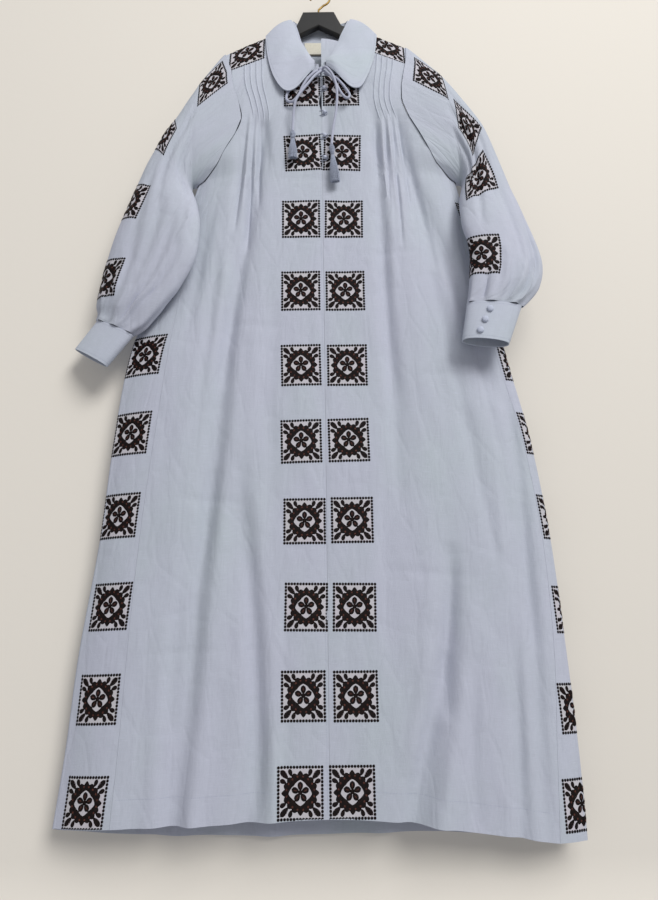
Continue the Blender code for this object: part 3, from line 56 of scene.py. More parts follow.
CAMERA_PLACE = (0.0055, -1.135, -1.232)
CAMERA_PITCH = math.radians(13.2)
CAMERA_ROLL = math.radians(-0.74)
camera = bpy.data.objects.new("camera", bpy.data.cameras.new("camera"))
camera.data.lens = 27.04
camera.data.sensor_width = 36
camera.data.clip_start = 0.05
camera.rotation_mode = "QUATERNION"
tilt = Matrix.Rotation(math.pi / 2 + CAMERA_PITCH, 3, "X") @ Matrix.Rotation(CAMERA_ROLL, 3, "Z")
camera.rotation_quaternion = tilt.to_quaternion()
camera.location = CAMERA_PLACE
bpy.context.collection.objects.link(camera)
bpy.context.scene.camera = camera


# Fronts: two panels of washed pale blue linen that meet edge to edge at the centre front.
# Each has four narrow tucks stitched down from the yoke and let out below it into long folds.
# The cloth is a thin closed sheet on the form of the panel, with its creases pressed in.

TUCK_RELEASE = -0.322
TUCK_COUNT = 4
FIRST_TUCK = 0.66
TUCK_SPACING = 0.065


def spread(start, end, count):
    return [start + (end - start) * i / count for i in range(count + 1)]


TUCKS = [FIRST_TUCK + TUCK_SPACING * i for i in range(TUCK_COUNT)]

tuck_fans = [at + step for at in TUCKS for step in (-0.014, -0.0075, -0.0035, 0.0, 0.0035, 0.0075, 0.014)]
gather_columns = spread(0.50, 0.88, 84)
front_columns = sorted(set(spread(0.0, 0.50, 24) + gather_columns + tuck_fans + spread(0.88, 1.0, 10)))
long_rows = spread(0.0, 1.0, 56)[:-1] + [1 + share for share in spread(0.0, 1.0, 180)]
down_rows = [share - 1 for share in long_rows if share >= 1]

CLOTH = 0.0012  # one layer of linen
DOUBLE_CLOTH = 0.0020  # collar, stand and cuffs
SEAM_GAP = 0.0003
HALF_GAP = SEAM_GAP / 2
STEP = 1e-4  # spacing for slopes worked out by differences

# Shoulders: the cloth's top line falls both ways from the middle, over the hanger's arms
RIDGE_TOP = -0.0740
RIDGE_SLOPE = 0.5095
RIDGE_SOFT = 0.030
RIDGE_RADIUS = 0.0085
RIDGE_TURN = math.radians(75)
FRONT_YOKE_LEFT = 0.068
FRONT_YOKE_RIGHT = 0.060
BACK_YOKE_HEIGHT = -0.280

# Body below the arms
UNDERARM = -0.445
FOLD_RADIUS = 0.006
MIDDLE_DEPTH = 0.000
SIDE_EASE = 0.045

# Outline of the body: the fold at each side, the front seam of each side strip, and how far the
# strip reaches round behind the fold
Body = namedtuple("Body", "height left_behind left_edge left_seam right_seam right_edge right_behind")
BODY = [
    Body(-0.445, 0.055, -0.2340, -0.2220, 0.2385, 0.2500, 0.059),
    Body(-0.500, 0.053, -0.2510, -0.2310, 0.2465, 0.2625, 0.058),
    Body(-0.600, 0.046, -0.2850, -0.2460, 0.2580, 0.2880, 0.056),
    Body(-0.700, 0.036, -0.3200, -0.2600, 0.2760, 0.3070, 0.055),
    Body(-0.800, 0.030, -0.3490, -0.2740, 0.3020, 0.3230, 0.059),
    Body(-0.950, 0.026, -0.3670, -0.2910, 0.3365, 0.3530, 0.077),
    Body(-1.120, 0.024, -0.3800, -0.3070, 0.3566, 0.3730, 0.085),
    Body(-1.300, 0.022, -0.4020, -0.3165, 0.3596, 0.3832, 0.079),
    Body(-1.450, 0.021, -0.4130, -0.3230, 0.3495, 0.3890, 0.063),
    Body(-1.590, 0.021, -0.4280, -0.3300, 0.3410, 0.3905, 0.052),
]

# Armhole edge of the fronts, from the yoke seam to the underarm
Armhole = namedtuple("Armhole", "height left right")
ARMHOLE = [
    Armhole(-0.170, -0.1760, 0.1660),
    Armhole(-0.210, -0.1740, 0.1620),
    Armhole(-0.230, -0.1730, 0.1580),
    Armhole(-0.255, -0.1690, 0.1540),
    Armhole(-0.290, -0.1580, 0.1530),
    Armhole(-0.325, -0.1520, 0.1650),
    Armhole(-0.360, -0.1640, 0.1830),
    Armhole(-0.390, -0.1810, 0.1970),
    Armhole(-0.420, -0.1970, 0.2120),
    Armhole(-0.445, -0.2220, 0.2385),
]

# How far the front and the back stand from the middle plane, away from the side folds
Depth = namedtuple("Depth", "height front back")
DEPTH = [
    Depth(-0.110, 0.0100, 0.0120),
    Depth(-0.150, 0.0165, 0.0170),
    Depth(-0.190, 0.0210, 0.0180),
    Depth(-0.235, 0.0290, 0.0180),
    Depth(-0.300, 0.0320, 0.0175),
    Depth(-0.450, 0.0320, 0.0170),
    Depth(-0.900, 0.0300, 0.0190),
    Depth(-1.300, 0.0320, 0.0220),
    Depth(-1.600, 0.0340, 0.0260),
]

# Hem heights, front and back, across the dress
Hem = namedtuple("Hem", "across front back")
HEM = [
    Hem(-0.430, -1.5530, -1.5560),
    Hem(-0.330, -1.5480, -1.5680),
    Hem(-0.245, -1.5460, -1.5710),
    Hem(-0.110, -1.5410, -1.5740),
    Hem(0.000, -1.5370, -1.5730),
    Hem(0.100, -1.5430, -1.5710),
    Hem(0.250, -1.5620, -1.5720),
    Hem(0.337, -1.5760, -1.5790),
    Hem(0.400, -1.5830, -1.5850),
]

# Folds: the course of each through three points, its half width, and how deep it is on the way
# (plus for a trough, minus for a ridge)
Fold = namedtuple("Fold", "top top_x mid mid_x low low_x half_width top_depth mid_depth low_depth")
FRONT_FOLDS = [
    Fold(-0.340, -0.112, -0.880, -0.190, -1.600, -0.240, 0.020, 0.003, 0.007, 0.012),
    Fold(-0.700, -0.130, -1.100, -0.178, -1.600, -0.214, 0.018, 0.000, -0.004, -0.009),
    Fold(-1.000, -0.162, -1.280, -0.108, -1.600, -0.136, 0.019, 0.000, 0.006, 0.011),
    Fold(-1.150, -0.100, -1.350, -0.082, -1.600, -0.104, 0.017, 0.000, -0.003, -0.007),
    Fold(-1.150, -0.270, -1.350, -0.282, -1.600, -0.294, 0.018, 0.000, 0.002, 0.005),
    Fold(-0.326, -0.124, -0.390, -0.121, -0.500, -0.122, 0.007, 0.005, 0.004, 0.000),
    Fold(-0.326, -0.110, -0.400, -0.102, -0.480, -0.099, 0.007, 0.005, 0.004, 0.000),
    Fold(-0.326, 0.101, -0.560, 0.108, -1.250, 0.106, 0.011, 0.007, 0.005, 0.000),
    Fold(-0.326, 0.142, -0.620, 0.192, -1.000, 0.244, 0.017, 0.005, 0.005, 0.000),
    Fold(-0.340, 0.120, -0.640, 0.152, -1.000, 0.186, 0.018, -0.003, -0.003, 0.000),
    Fold(-1.140, 0.203, -1.330, 0.181, -1.600, 0.112, 0.020, 0.000, 0.007, 0.012),
    Fold(-1.200, 0.236, -1.380, 0.204, -1.600, 0.150, 0.018, 0.000, -0.004, -0.009),
    Fold(-0.950, 0.305, -1.200, 0.300, -1.600, 0.284, 0.014, 0.002, 0.005, 0.009),
]
BACK_FOLDS = [
    Fold(-0.320, -0.080, -0.900, -0.180, -1.620, -0.240, 0.026, 0.003, 0.006, 0.009),
    Fold(-0.320, -0.020, -0.900, -0.060, -1.620, -0.090, 0.024, 0.004, 0.006, 0.008),
    Fold(-0.320, 0.030, -0.900, 0.055, -1.620, 0.080, 0.024, 0.004, 0.005, 0.008),
    Fold(-0.320, 0.085, -0.900, 0.160, -1.620, 0.220, 0.026, 0.003, 0.006, 0.009),
]

# Neck edge of fronts and yoke, from the centre front round the left side and the back to the
# centre front again: place across, and distance round the shoulder (minus in front, plus behind)
Neck = namedtuple("Neck", "along across around")
NECK = [
    Neck(0.000, -0.0004, -0.1692),
    Neck(0.050, -0.0200, -0.1603),
    Neck(0.100, -0.0400, -0.1324),
    Neck(0.150, -0.0560, -0.0990),
    Neck(0.200, -0.0660, -0.0680),
    Neck(0.225, -0.0700, -0.0450),
    Neck(0.250, -0.0728, -0.0250),
    Neck(0.270, -0.0738, -0.0111),
    Neck(0.285, -0.0740, -0.0055),
    Neck(0.300, -0.0740, 0.0000),
    Neck(0.315, -0.0740, 0.0055),
    Neck(0.330, -0.0735, 0.0111),
    Neck(0.365, -0.0660, 0.0240),
    Neck(0.420, -0.0420, 0.0360),
    Neck(0.500, 0.0000, 0.0420),
    Neck(0.580, 0.0420, 0.0360),
    Neck(0.635, 0.0660, 0.0240),
    Neck(0.670, 0.0735, 0.0111),
    Neck(0.685, 0.0740, 0.0055),
    Neck(0.700, 0.0740, 0.0000),
    Neck(0.715, 0.0740, -0.0055),
    Neck(0.730, 0.0738, -0.0111),
    Neck(0.750, 0.0728, -0.0250),
    Neck(0.775, 0.0700, -0.0420),
    Neck(0.800, 0.0660, -0.0600),
    Neck(0.850, 0.0560, -0.0950),
    Neck(0.900, 0.0400, -0.1300),
    Neck(0.950, 0.0200, -0.1595),
    Neck(1.000, 0.0004, -0.1690),
]

SLIT_HEIGHT = -0.292
SLIT_HALF_LENGTH = 0.016
SLIT_WIDTH = 0.0050


def smooth(value):
    value = min(max(value, 0.0), 1.0)
    return value * value * (3 - 2 * value)


def lookup(rows, key, column, at):
    """Value of one column at a place between a table's rows, joined by a smooth curve."""
    places = [getattr(row, key) for row in rows]
    values = [getattr(row, column) for row in rows]
    if places[0] > places[-1]:
        places.reverse()
        values.reverse()
    last = len(places) - 1
    at = min(max(at, places[0]), places[last])
    index = 0
    while index < last - 1 and at > places[index + 1]:
        index += 1

    def slope(i):
        low, high = max(i - 1, 0), min(i + 1, last)
        return (values[high] - values[low]) / (places[high] - places[low])

    span = places[index + 1] - places[index]
    t = (at - places[index]) / span
    start, end = values[index], values[index + 1]
    rise = 3 * t * t - 2 * t * t * t
    bend_in = (t * t * t - 2 * t * t + t) * span
    bend_out = (t * t * t - t * t) * span
    return start + (end - start) * rise + slope(index) * bend_in + slope(index + 1) * bend_out


def ridge(x):
    """Height of the shoulder line at a place across."""
    return RIDGE_TOP - RIDGE_SLOPE * (math.hypot(x, RIDGE_SOFT) - RIDGE_SOFT)


RIDGE_ARC = RIDGE_RADIUS * RIDGE_TURN
RIDGE_DROP = RIDGE_RADIUS * (1 - math.cos(RIDGE_TURN))
RIDGE_REACH = RIDGE_RADIUS * math.sin(RIDGE_TURN)
RIDGE_FALL = math.sin(RIDGE_TURN)
SHOULDER_EASE = 0.020


def height_round(x, around):
    """Height of a point at a distance round the shoulder, past the turn over the ridge."""
    return ridge(x) - RIDGE_DROP - (abs(around) - RIDGE_ARC) * RIDGE_FALL


def fold_depth(folds, x, z):
    depth = 0.0
    for fold in folds:
        if z > fold.top + 0.04 or z < fold.low - 0.02:
            continue
        share = (z - fold.mid) * (z - fold.low) / ((fold.top - fold.mid) * (fold.top - fold.low))
        share_mid = (z - fold.top) * (z - fold.low) / ((fold.mid - fold.top) * (fold.mid - fold.low))
        share_low = (z - fold.top) * (z - fold.mid) / ((fold.low - fold.top) * (fold.low - fold.mid))
        centre = share * fold.top_x + share_mid * fold.mid_x + share_low * fold.low_x
        if z > fold.mid:
            part = (fold.top - z) / (fold.top - fold.mid)
            size = fold.top_depth + (fold.mid_depth - fold.top_depth) * smooth(part)
        else:
            part = (fold.mid - z) / (fold.mid - fold.low)
            size = fold.mid_depth + (fold.low_depth - fold.mid_depth) * smooth(part)
        size *= smooth((fold.top + 0.04 - z) / 0.06)
        depth += size * math.exp(-(((x - centre) / fold.half_width) ** 2))
    return depth


def standing(column, x, z, folds):
    """How far the front or the back stands from the middle plane, with its folds."""
    base = lookup(DEPTH, "height", column, z)
    drop = ridge(x) - z
    if drop < 0.16:
        base = RIDGE_REACH + (base - RIDGE_REACH) * (1 - math.exp(-max(drop - RIDGE_DROP, 0) / SHOULDER_EASE))
    left = lookup(BODY, "height", "left_edge", z) + FOLD_RADIUS
    right = lookup(BODY, "height", "right_edge", z) - FOLD_RADIUS
    inside = max(min(x - left, right - x), 0.0)
    ease = 1 - math.exp(-inside / SIDE_EASE)
    ease = 1 - (1 - ease) * smooth((UNDERARM + 0.05 - z) / 0.05)
    return FOLD_RADIUS + (base - fold_depth(folds, x, z) - FOLD_RADIUS) * ease


def front_y(x, z):
    return MIDDLE_DEPTH - standing("front", x, z, FRONT_FOLDS)


def front_top(side, x):
    """Height of a front's top edge: the neck edge, then the yoke seam."""
    rows = NECK[:5] if side < 0 else NECK[14:]
    reach = abs(rows[-1].across) if side < 0 else abs(rows[0].across)
    if abs(x) < reach:
        return height_round(x, lookup(rows, "across", "around", x))
    return height_round(x, FRONT_YOKE_LEFT if side < 0 else FRONT_YOKE_RIGHT)


def front_side(side, z):
    """Place across of a front's outer edge: the armhole, then the strip's seam."""
    if z > UNDERARM:
        return lookup(ARMHOLE, "height", "left" if side < 0 else "right", z)
    return lookup(BODY, "height", "left_seam" if side < 0 else "right_seam", z)


class Socket:
    """A shader value with the usual sums, so that a formula reads as one line."""

    def __init__(self, tree, source):
        self.tree = tree
        self.source = source

    def _math(self, kind, *others):
        node = self.tree.nodes.new("ShaderNodeMath")
        node.operation = kind
        for slot, value in enumerate((self,) + others):
            if isinstance(value, Socket):
                self.tree.links.new(value.source, node.inputs[slot])
            else:
                node.inputs[slot].default_value = value
        return Socket(self.tree, node.outputs[0])

    def __add__(self, other):
        return self._math("ADD", other)

    def __sub__(self, other):
        return self._math("SUBTRACT", other)

    def __mul__(self, other):
        return self._math("MULTIPLY", other)

    def sine(self):
        return self._math("SINE")

    def clamp(self, low, high):
        return self._math("MAXIMUM", low)._math("MINIMUM", high)


class Look:
    """A procedural material on the piece's own UV in metres, or on Object coordinates."""

    def __init__(self, name, colour, roughness, metallic=0.0, flat=False):
        self.material = bpy.data.materials.new(name)
        self.material.use_nodes = True
        self.tree = self.material.node_tree
        self.shader = self.tree.nodes["Principled BSDF"]
        self.shader.inputs["Base Color"].default_value = (*colour, 1.0)
        self.shader.inputs["Roughness"].default_value = roughness
        self.shader.inputs["Metallic"].default_value = metallic
        self.colour = colour
        self.where = self.tree.nodes.new("ShaderNodeTexCoord").outputs["UV" if flat else "Object"]

    def scaled(self, x, y, z=1.0):
        node = self.tree.nodes.new("ShaderNodeVectorMath")
        node.operation = "MULTIPLY"
        self.tree.links.new(self.where, node.inputs[0])
        node.inputs[1].default_value = (x, y, z)
        return node.outputs[0]

    def noise(self, x, y, z=1.0, detail=2.0, distortion=0.0):
        node = self.tree.nodes.new("ShaderNodeTexNoise")
        node.inputs["Scale"].default_value = 1.0
        node.inputs["Detail"].default_value = detail
        node.inputs["Distortion"].default_value = distortion
        self.tree.links.new(self.scaled(x, y, z), node.inputs["Vector"])
        return Socket(self.tree, node.outputs["Fac"])

    def cells(self, x, y, z=1.0):
        """Distance to the nearest border of a net of cells."""
        node = self.tree.nodes.new("ShaderNodeTexVoronoi")
        node.feature = "DISTANCE_TO_EDGE"
        node.inputs["Scale"].default_value = 1.0
        self.tree.links.new(self.scaled(x, y, z), node.inputs["Vector"])
        return Socket(self.tree, node.outputs["Distance"])

    def along(self, axis, scale):
        node = self.tree.nodes.new("ShaderNodeSeparateXYZ")
        self.tree.links.new(self.where, node.inputs[0])
        return Socket(self.tree, node.outputs[axis]) * scale

    def tint(self, factor, other, low=0.0, high=1.0):
        """Base colour moved towards another one by a factor."""
        node = self.tree.nodes.new("ShaderNodeMix")
        node.data_type = "RGBA"
        spread_node = self.tree.nodes.new("ShaderNodeMapRange")
        spread_node.inputs["From Min"].default_value = low
        spread_node.inputs["From Max"].default_value = high
        self.tree.links.new(factor.source, spread_node.inputs["Value"])
        self.tree.links.new(spread_node.outputs[0], node.inputs["Factor"])
        before = self.shader.inputs["Base Color"]
        if before.links:
            self.tree.links.new(before.links[0].from_socket, node.inputs[6])
        else:
            node.inputs[6].default_value = (*self.colour, 1.0)
        node.inputs[7].default_value = (*other, 1.0)
        self.tree.links.new(node.outputs[2], before)

    def bump(self, height, distance, strength=1.0):
        node = self.tree.nodes.new("ShaderNodeBump")
        node.inputs["Distance"].default_value = distance
        node.inputs["Strength"].default_value = strength
        self.tree.links.new(height.source, node.inputs["Height"])
        before = self.shader.inputs["Normal"]
        if before.links:
            self.tree.links.new(before.links[0].from_socket, node.inputs["Normal"])
        self.tree.links.new(node.outputs[0], before)

    def rough(self, factor, low, high):
        node = self.tree.nodes.new("ShaderNodeMapRange")
        node.inputs["To Min"].default_value = low
        node.inputs["To Max"].default_value = high
        self.tree.links.new(factor.source, node.inputs["Value"])
        self.tree.links.new(node.outputs[0], self.shader.inputs["Roughness"])


def linear(red, green, blue):
    """A colour given as screen values, 0 to 255, as linear light."""
    return tuple((value / 255 / 12.92) if value < 10.3 else ((value / 255 + 0.055) / 1.055) ** 2.4
                 for value in (red, green, blue))


THREADS = 2 * math.pi / 0.00085  # linen of about 12 threads a centimetre


def linen_look(name, colour, crumple=1.0):
    """Washed linen: plain weave, slubs both ways, faint patches and a net of soft pressed creases."""
    look = Look(name, linear(*colour), 0.82, flat=True)
    paler = linear(*[min(255, value * 1.07 + 3) for value in colour])
    deeper = linear(*[value * 0.90 for value in colour])
    greener = linear(colour[0] * 0.97, colour[1] * 1.0, colour[2] * 0.965)
    look.tint(look.noise(6.0, 3.0, detail=3.0), greener, 0.40, 0.75)
    look.tint(look.noise(1900.0, 45.0), deeper, 0.52, 1.05)
    look.tint(look.noise(50.0, 1700.0), paler, 0.50, 1.0)
    look.tint(look.noise(160.0, 12.0, detail=3.0), deeper, 0.56, 1.25)
    weave = look.along("X", THREADS).sine() * look.along("Y", THREADS).sine()
    look.bump(weave, 0.00007, 0.8)
    look.bump(look.noise(1500.0, 50.0) + look.noise(60.0, 1500.0), 0.00022, 0.8)
    lines = look.cells(26.0, 11.0).clamp(0.0, 0.10)
    look.bump(lines, 0.006 * crumple, 0.55)
    look.bump(look.noise(38.0, 14.0, detail=4.0, distortion=0.6), 0.0022 * crumple, 0.8)
    look.rough(look.noise(900.0, 40.0), 0.76, 0.92)
    look.shader.inputs["Sheen Weight"].default_value = 0.12
    look.shader.inputs["Sheen Roughness"].default_value = 0.6
    return look.material


BLUE = (180, 184, 199)
linen = linen_look("linen", BLUE)

# Small creases of fronts and back: from one end to the other, half width and depth (minus for a ridge)
Crease = namedtuple("Crease", "x z to_x to_z half_width depth")
FRONT_CREASES = [
    Crease(-0.108, -0.330, -0.178, -0.860, 0.0125, 0.0062),
    Crease(-0.158, -0.680, -0.204, -1.200, 0.0150, 0.0062),
    Crease(-0.190, -1.000, -0.224, -1.600, 0.0170, 0.0072),
    Crease(-0.205, -0.900, -0.240, -1.560, 0.0130, -0.0030),
    Crease(-0.142, -0.980, -0.098, -1.600, 0.0120, 0.0060),
    Crease(-0.118, -1.020, -0.078, -1.560, 0.0110, -0.0026),
    Crease(-0.132, -0.350, -0.152, -0.640, 0.0075, -0.0030),
    Crease(0.124, -0.340, 0.118, -0.800, 0.0120, -0.0036),
    Crease(0.104, -0.480, 0.124, -1.080, 0.0105, 0.0058),
    Crease(0.146, -0.340, 0.204, -0.640, 0.0085, 0.0050),
    Crease(0.176, -0.460, 0.302, -0.900, 0.0150, 0.0058),
    Crease(0.204, -1.130, 0.180, -1.400, 0.0120, 0.0072),
    Crease(0.186, -1.300, 0.104, -1.590, 0.0125, 0.0068),
    Crease(0.160, -1.280, 0.120, -1.480, 0.0110, -0.0028),
    Crease(0.318, -0.800, 0.330, -1.300, 0.0120, 0.0056),
    Crease(0.330, -1.060, 0.322, -1.600, 0.0120, 0.0056),
    Crease(0.286, -0.960, 0.302, -1.480, 0.0120, -0.0024),
    Crease(-0.1165, -0.313, -0.1175, -0.520, 0.0034, 0.0042),
    Crease(-0.1285, -0.313, -0.1390, -0.600, 0.0038, 0.0048),
    Crease(-0.1400, -0.316, -0.1620, -0.560, 0.0036, 0.0040),
    Crease(-0.1225, -0.318, -0.1270, -0.480, 0.0034, -0.0022),
    Crease(-0.1345, -0.318, -0.1480, -0.520, 0.0036, -0.0022),
    Crease(0.1190, -0.313, 0.1225, -0.540, 0.0034, 0.0042),
    Crease(0.1310, -0.313, 0.1440, -0.600, 0.0038, 0.0046),
    Crease(0.1430, -0.316, 0.1640, -0.540, 0.0036, 0.0040),
    Crease(0.1250, -0.318, 0.1320, -0.480, 0.0034, -0.0022),
    Crease(0.1370, -0.318, 0.1520, -0.500, 0.0036, -0.0022),
    Crease(-0.134, -0.330, -0.142, -0.560, 0.0060, 0.0030),
    Crease(-0.146, -0.335, -0.175, -0.640, 0.0085, 0.0032),
    Crease(-0.126, -0.335, -0.128, -0.480, 0.0055, -0.0022),
    Crease(-0.112, -0.330, -0.110, -0.430, 0.0045, 0.0026),
    Crease(-0.160, -0.470, -0.205, -0.900, 0.0110, -0.0024),
    Crease(-0.176, -0.520, -0.232, -1.020, 0.0120, 0.0024),
    Crease(-0.198, -0.480, -0.246, -0.780, 0.0100, 0.0022),
    Crease(-0.110, -0.600, -0.128, -0.980, 0.0130, -0.0018),
    Crease(-0.090, -0.700, -0.094, -1.100, 0.0120, 0.0014),
    Crease(-0.150, -1.020, -0.152, -1.320, 0.0110, 0.0018),
    Crease(-0.225, -1.120, -0.262, -1.480, 0.0120, 0.0020),
    Crease(-0.066, -1.150, -0.072, -1.520, 0.0090, 0.0014),
    Crease(0.100, -0.330, 0.104, -0.470, 0.0055, 0.0034),
    Crease(0.112, -0.330, 0.118, -0.520, 0.0050, -0.0024),
    Crease(0.122, -0.335, 0.132, -0.560, 0.0060, 0.0030),
    Crease(0.134, -0.335, 0.152, -0.500, 0.0050, 0.0024),
    Crease(0.150, -0.380, 0.208, -0.760, 0.0090, 0.0026),
    Crease(0.172, -0.520, 0.226, -0.900, 0.0110, -0.0022),
    Crease(0.112, -0.640, 0.140, -1.020, 0.0110, 0.0024),
    Crease(0.196, -0.640, 0.262, -1.080, 0.0120, 0.0018),
    Crease(0.094, -0.980, 0.096, -1.320, 0.0100, 0.0016),
    Crease(0.160, -1.060, 0.168, -1.420, 0.0140, -0.0018),
    Crease(0.240, -0.900, 0.278, -1.180, 0.0100, 0.0018),
    Crease(0.262, -0.760, 0.296, -0.990, 0.0080, 0.0020),
    Crease(0.226, -1.300, 0.214, -1.560, 0.0110, 0.0020),
    Crease(0.300, -1.260, 0.288, -1.540, 0.0090, 0.0018),
    Crease(-0.250, -1.050, -0.120, -1.062, 0.0050, 0.0009),
    Crease(-0.090, -0.455, 0.060, -0.459, 0.0045, 0.0008),
    Crease(0.070, -0.612, 0.190, -0.604, 0.0050, 0.0008),
    Crease(-0.180, -0.742, -0.070, -0.750, 0.0050, 0.0009),
    Crease(0.080, -1.172, 0.250, -1.186, 0.0055, 0.0009),
    Crease(-0.300, -1.300, -0.160, -1.292, 0.0050, 0.0008),
    Crease(0.160, -0.842, 0.280, -0.835, 0.0050, 0.0008),
    Crease(-0.002, -0.330, -0.001, -1.540, 0.0026, 0.0011),
]

BACK_CREASES = [
    Crease(-0.150, -0.300, -0.190, -0.760, 0.0120, 0.0026),
    Crease(-0.050, -0.300, -0.070, -0.700, 0.0100, 0.0022),
    Crease(-0.012, -0.300, -0.016, -0.560, 0.0070, -0.0020),
    Crease(0.020, -0.300, 0.030, -0.640, 0.0090, 0.0024),
    Crease(0.070, -0.300, 0.098, -0.720, 0.0110, -0.0020),
    Crease(0.140, -0.310, 0.190, -0.800, 0.0120, 0.0024),
    Crease(-0.210, -0.700, -0.260, -1.200, 0.0130, 0.0024),
    Crease(-0.110, -0.760, -0.130, -1.260, 0.0120, -0.0020),
    Crease(0.000, -0.800, 0.008, -1.320, 0.0130, 0.0022),
    Crease(0.110, -0.800, 0.126, -1.200, 0.0120, 0.0020),
    Crease(0.230, -0.780, 0.268, -1.240, 0.0130, 0.0024),
    Crease(-0.180, -1.200, -0.170, -1.560, 0.0120, 0.0022),
    Crease(0.060, -1.240, 0.050, -1.560, 0.0110, -0.0018),
    Crease(0.190, -1.250, 0.180, -1.560, 0.0120, 0.0020),
    Crease(-0.240, -0.610, 0.180, -0.618, 0.0050, 0.0009),
    Crease(-0.200, -1.020, 0.240, -1.012, 0.0050, 0.0009),
]


def crease_field(rows, across, along):
    """Depth of a table's creases at points given by two coordinates, full in the middle of each crease."""
    depth = np.zeros_like(across)
    for row in rows:
        start_a, start_b, end_a, end_b, half_width, size = row
        run_a, run_b = end_a - start_a, end_b - start_b
        share = ((across - start_a) * run_a + (along - start_b) * run_b) / (run_a ** 2 + run_b ** 2)
        near = np.clip(share, 0.0, 1.0)
        bow = 0.12 * half_width * np.sin(9.0 * near + 40 * start_a)
        away = (across - start_a - near * run_a + bow) ** 2 + (along - start_b - near * run_b) ** 2
        fade = np.sin(np.pi * np.clip(share, 0.0, 1.0)) ** 0.6
        depth += size * fade * np.exp(-away / half_width ** 2)
    return depth


def unevenness(x, z, layer):
    """Soft waviness of hung linen, as heights in metres."""
    broad = [noise.noise(Vector((a * 15, b * 5.5, layer))) for a, b in zip(x.ravel(), z.ravel())]
    fine = [noise.noise(Vector((a * 42, b * 17, layer + 9))) for a, b in zip(x.ravel(), z.ravel())]
    return (0.0016 * np.array(broad) + 0.0007 * np.array(fine)).reshape(x.shape)


def quiet_zone(x, z, behind):
    """Share of the creases that a place on the body takes: none at the side folds or under the collar."""
    left = np.interp(-z, [-row.height for row in BODY], [row.left_edge for row in BODY])
    right = np.interp(-z, [-row.height for row in BODY], [row.right_edge for row in BODY])
    share = np.clip((np.minimum(x - left, right - x) - 0.008) / 0.020, 0, 1)
    top = -0.285 if behind else -0.195
    share *= np.clip((top - z) / 0.030, 0, 1)
    if not behind:
        shown = np.clip((-0.400 - z) / 0.030, 0, 1)
        share *= np.maximum(shown, np.clip((np.abs(x) - 0.072) / 0.012, 0, 1))
    return share


CREASE_STRENGTH = 1.35


def creased_body(points, behind=False):
    x, z = points[..., 0], points[..., 2]
    rows = BACK_CREASES if behind else FRONT_CREASES
    depth = crease_field(rows, x, z) + unevenness(x, z, 5.0 if behind else 1.0)
    made = points.copy()
    made[..., 1] += CREASE_STRENGTH * depth * quiet_zone(x, z, behind) * (-1 if behind else 1)
    return made


Grid = namedtuple("Grid", "points normals closed")


def grid_of(surface, columns, rows):
    return np.array([[surface(u, v)[:] for u in columns] for v in rows])


def normals_of(points, closed, turned):
    if closed:
        across = np.roll(points, -1, axis=1) - np.roll(points, 1, axis=1)
    else:
        across = np.gradient(points, axis=1)
    normal = np.cross(across, np.gradient(points, axis=0)) * (-1 if turned else 1)
    return normal / np.maximum(np.linalg.norm(normal, axis=2, keepdims=True), 1e-9)


def lengths_of(points, closed):
    """Distance along each row, with one more column where the row closes on itself."""
    ring = np.concatenate([points, points[:, :1]], axis=1) if closed else points
    steps = np.linalg.norm(np.diff(ring, axis=1), axis=2)
    return np.concatenate([np.zeros((len(points), 1)), np.cumsum(steps, axis=1)], axis=1)


def shell(name, points, thickness, look, closed=False, turned=False, zero=0):
    """Thin closed sheet through a grid of points, with its own UV in metres from the column called zero."""
    count, wide = points.shape[:2]
    normals = normals_of(points, closed, turned)
    verts = np.concatenate([points.reshape(-1, 3), (points - normals * thickness).reshape(-1, 3)])
    across = lengths_of(points, closed)
    across = across - across[:, zero:zero + 1]
    down = np.linalg.norm(np.diff(points[:, zero], axis=0), axis=1)
    down = np.concatenate([[0.0], np.cumsum(down)])
    uv = np.stack([across, np.repeat(-down[:, None], across.shape[1], axis=1)], axis=2).reshape(-1, 2)
    uv_wide = across.shape[1]
    last = wide if closed else wide - 1
    j, i = np.meshgrid(np.arange(count - 1), np.arange(last), indexing="ij")
    j, i = j.ravel(), i.ravel()
    k = (i + 1) % wide
    corners = np.stack([j * wide + i, j * wide + k, (j + 1) * wide + k, (j + 1) * wide + i], axis=1)
    mark, below = j * uv_wide + i, (j + 1) * uv_wide + i
    marks = np.stack([mark, mark + 1, below + 1, below], axis=1)
    inner = corners[:, ::-1] + count * wide
    faces = [corners, inner]
    places = [marks, marks[:, ::-1]]

    def rim(first, second, first_mark, second_mark):
        inside = count * wide
        faces.append(np.stack([second, first, first + inside, second + inside], axis=1))
        places.append(np.stack([second_mark, first_mark, first_mark, second_mark], axis=1))

    i = np.arange(last)
    k = (i + 1) % wide
    rim(i, k, i, i + 1)
    foot = (count - 1) * wide
    foot_mark = (count - 1) * uv_wide
    rim(foot + k, foot + i, foot_mark + i + 1, foot_mark + i)
    if not closed:
        j = np.arange(count - 1)
        rim((j + 1) * wide, j * wide, (j + 1) * uv_wide, j * uv_wide)
        edge = wide - 1
        rim(j * wide + edge, (j + 1) * wide + edge, j * uv_wide + edge, (j + 1) * uv_wide + edge)
    faces = np.concatenate(faces)
    places = np.concatenate(places)
    if turned:
        faces, places = faces[:, ::-1], places[:, ::-1]
    mesh = bpy.data.meshes.new(name)
    mesh.from_pydata(verts.tolist(), [], faces.tolist())
    mesh.uv_layers.new(name="cloth").data.foreach_set("uv", uv[places.ravel()].ravel())
    mesh.materials.append(look)
    mesh.shade_smooth()
    mesh.set_sharp_from_angle(angle=math.radians(60))
    made = bpy.data.objects.new(name, mesh)
    bpy.context.collection.objects.link(made)
    return made, Grid(points, normals, closed)


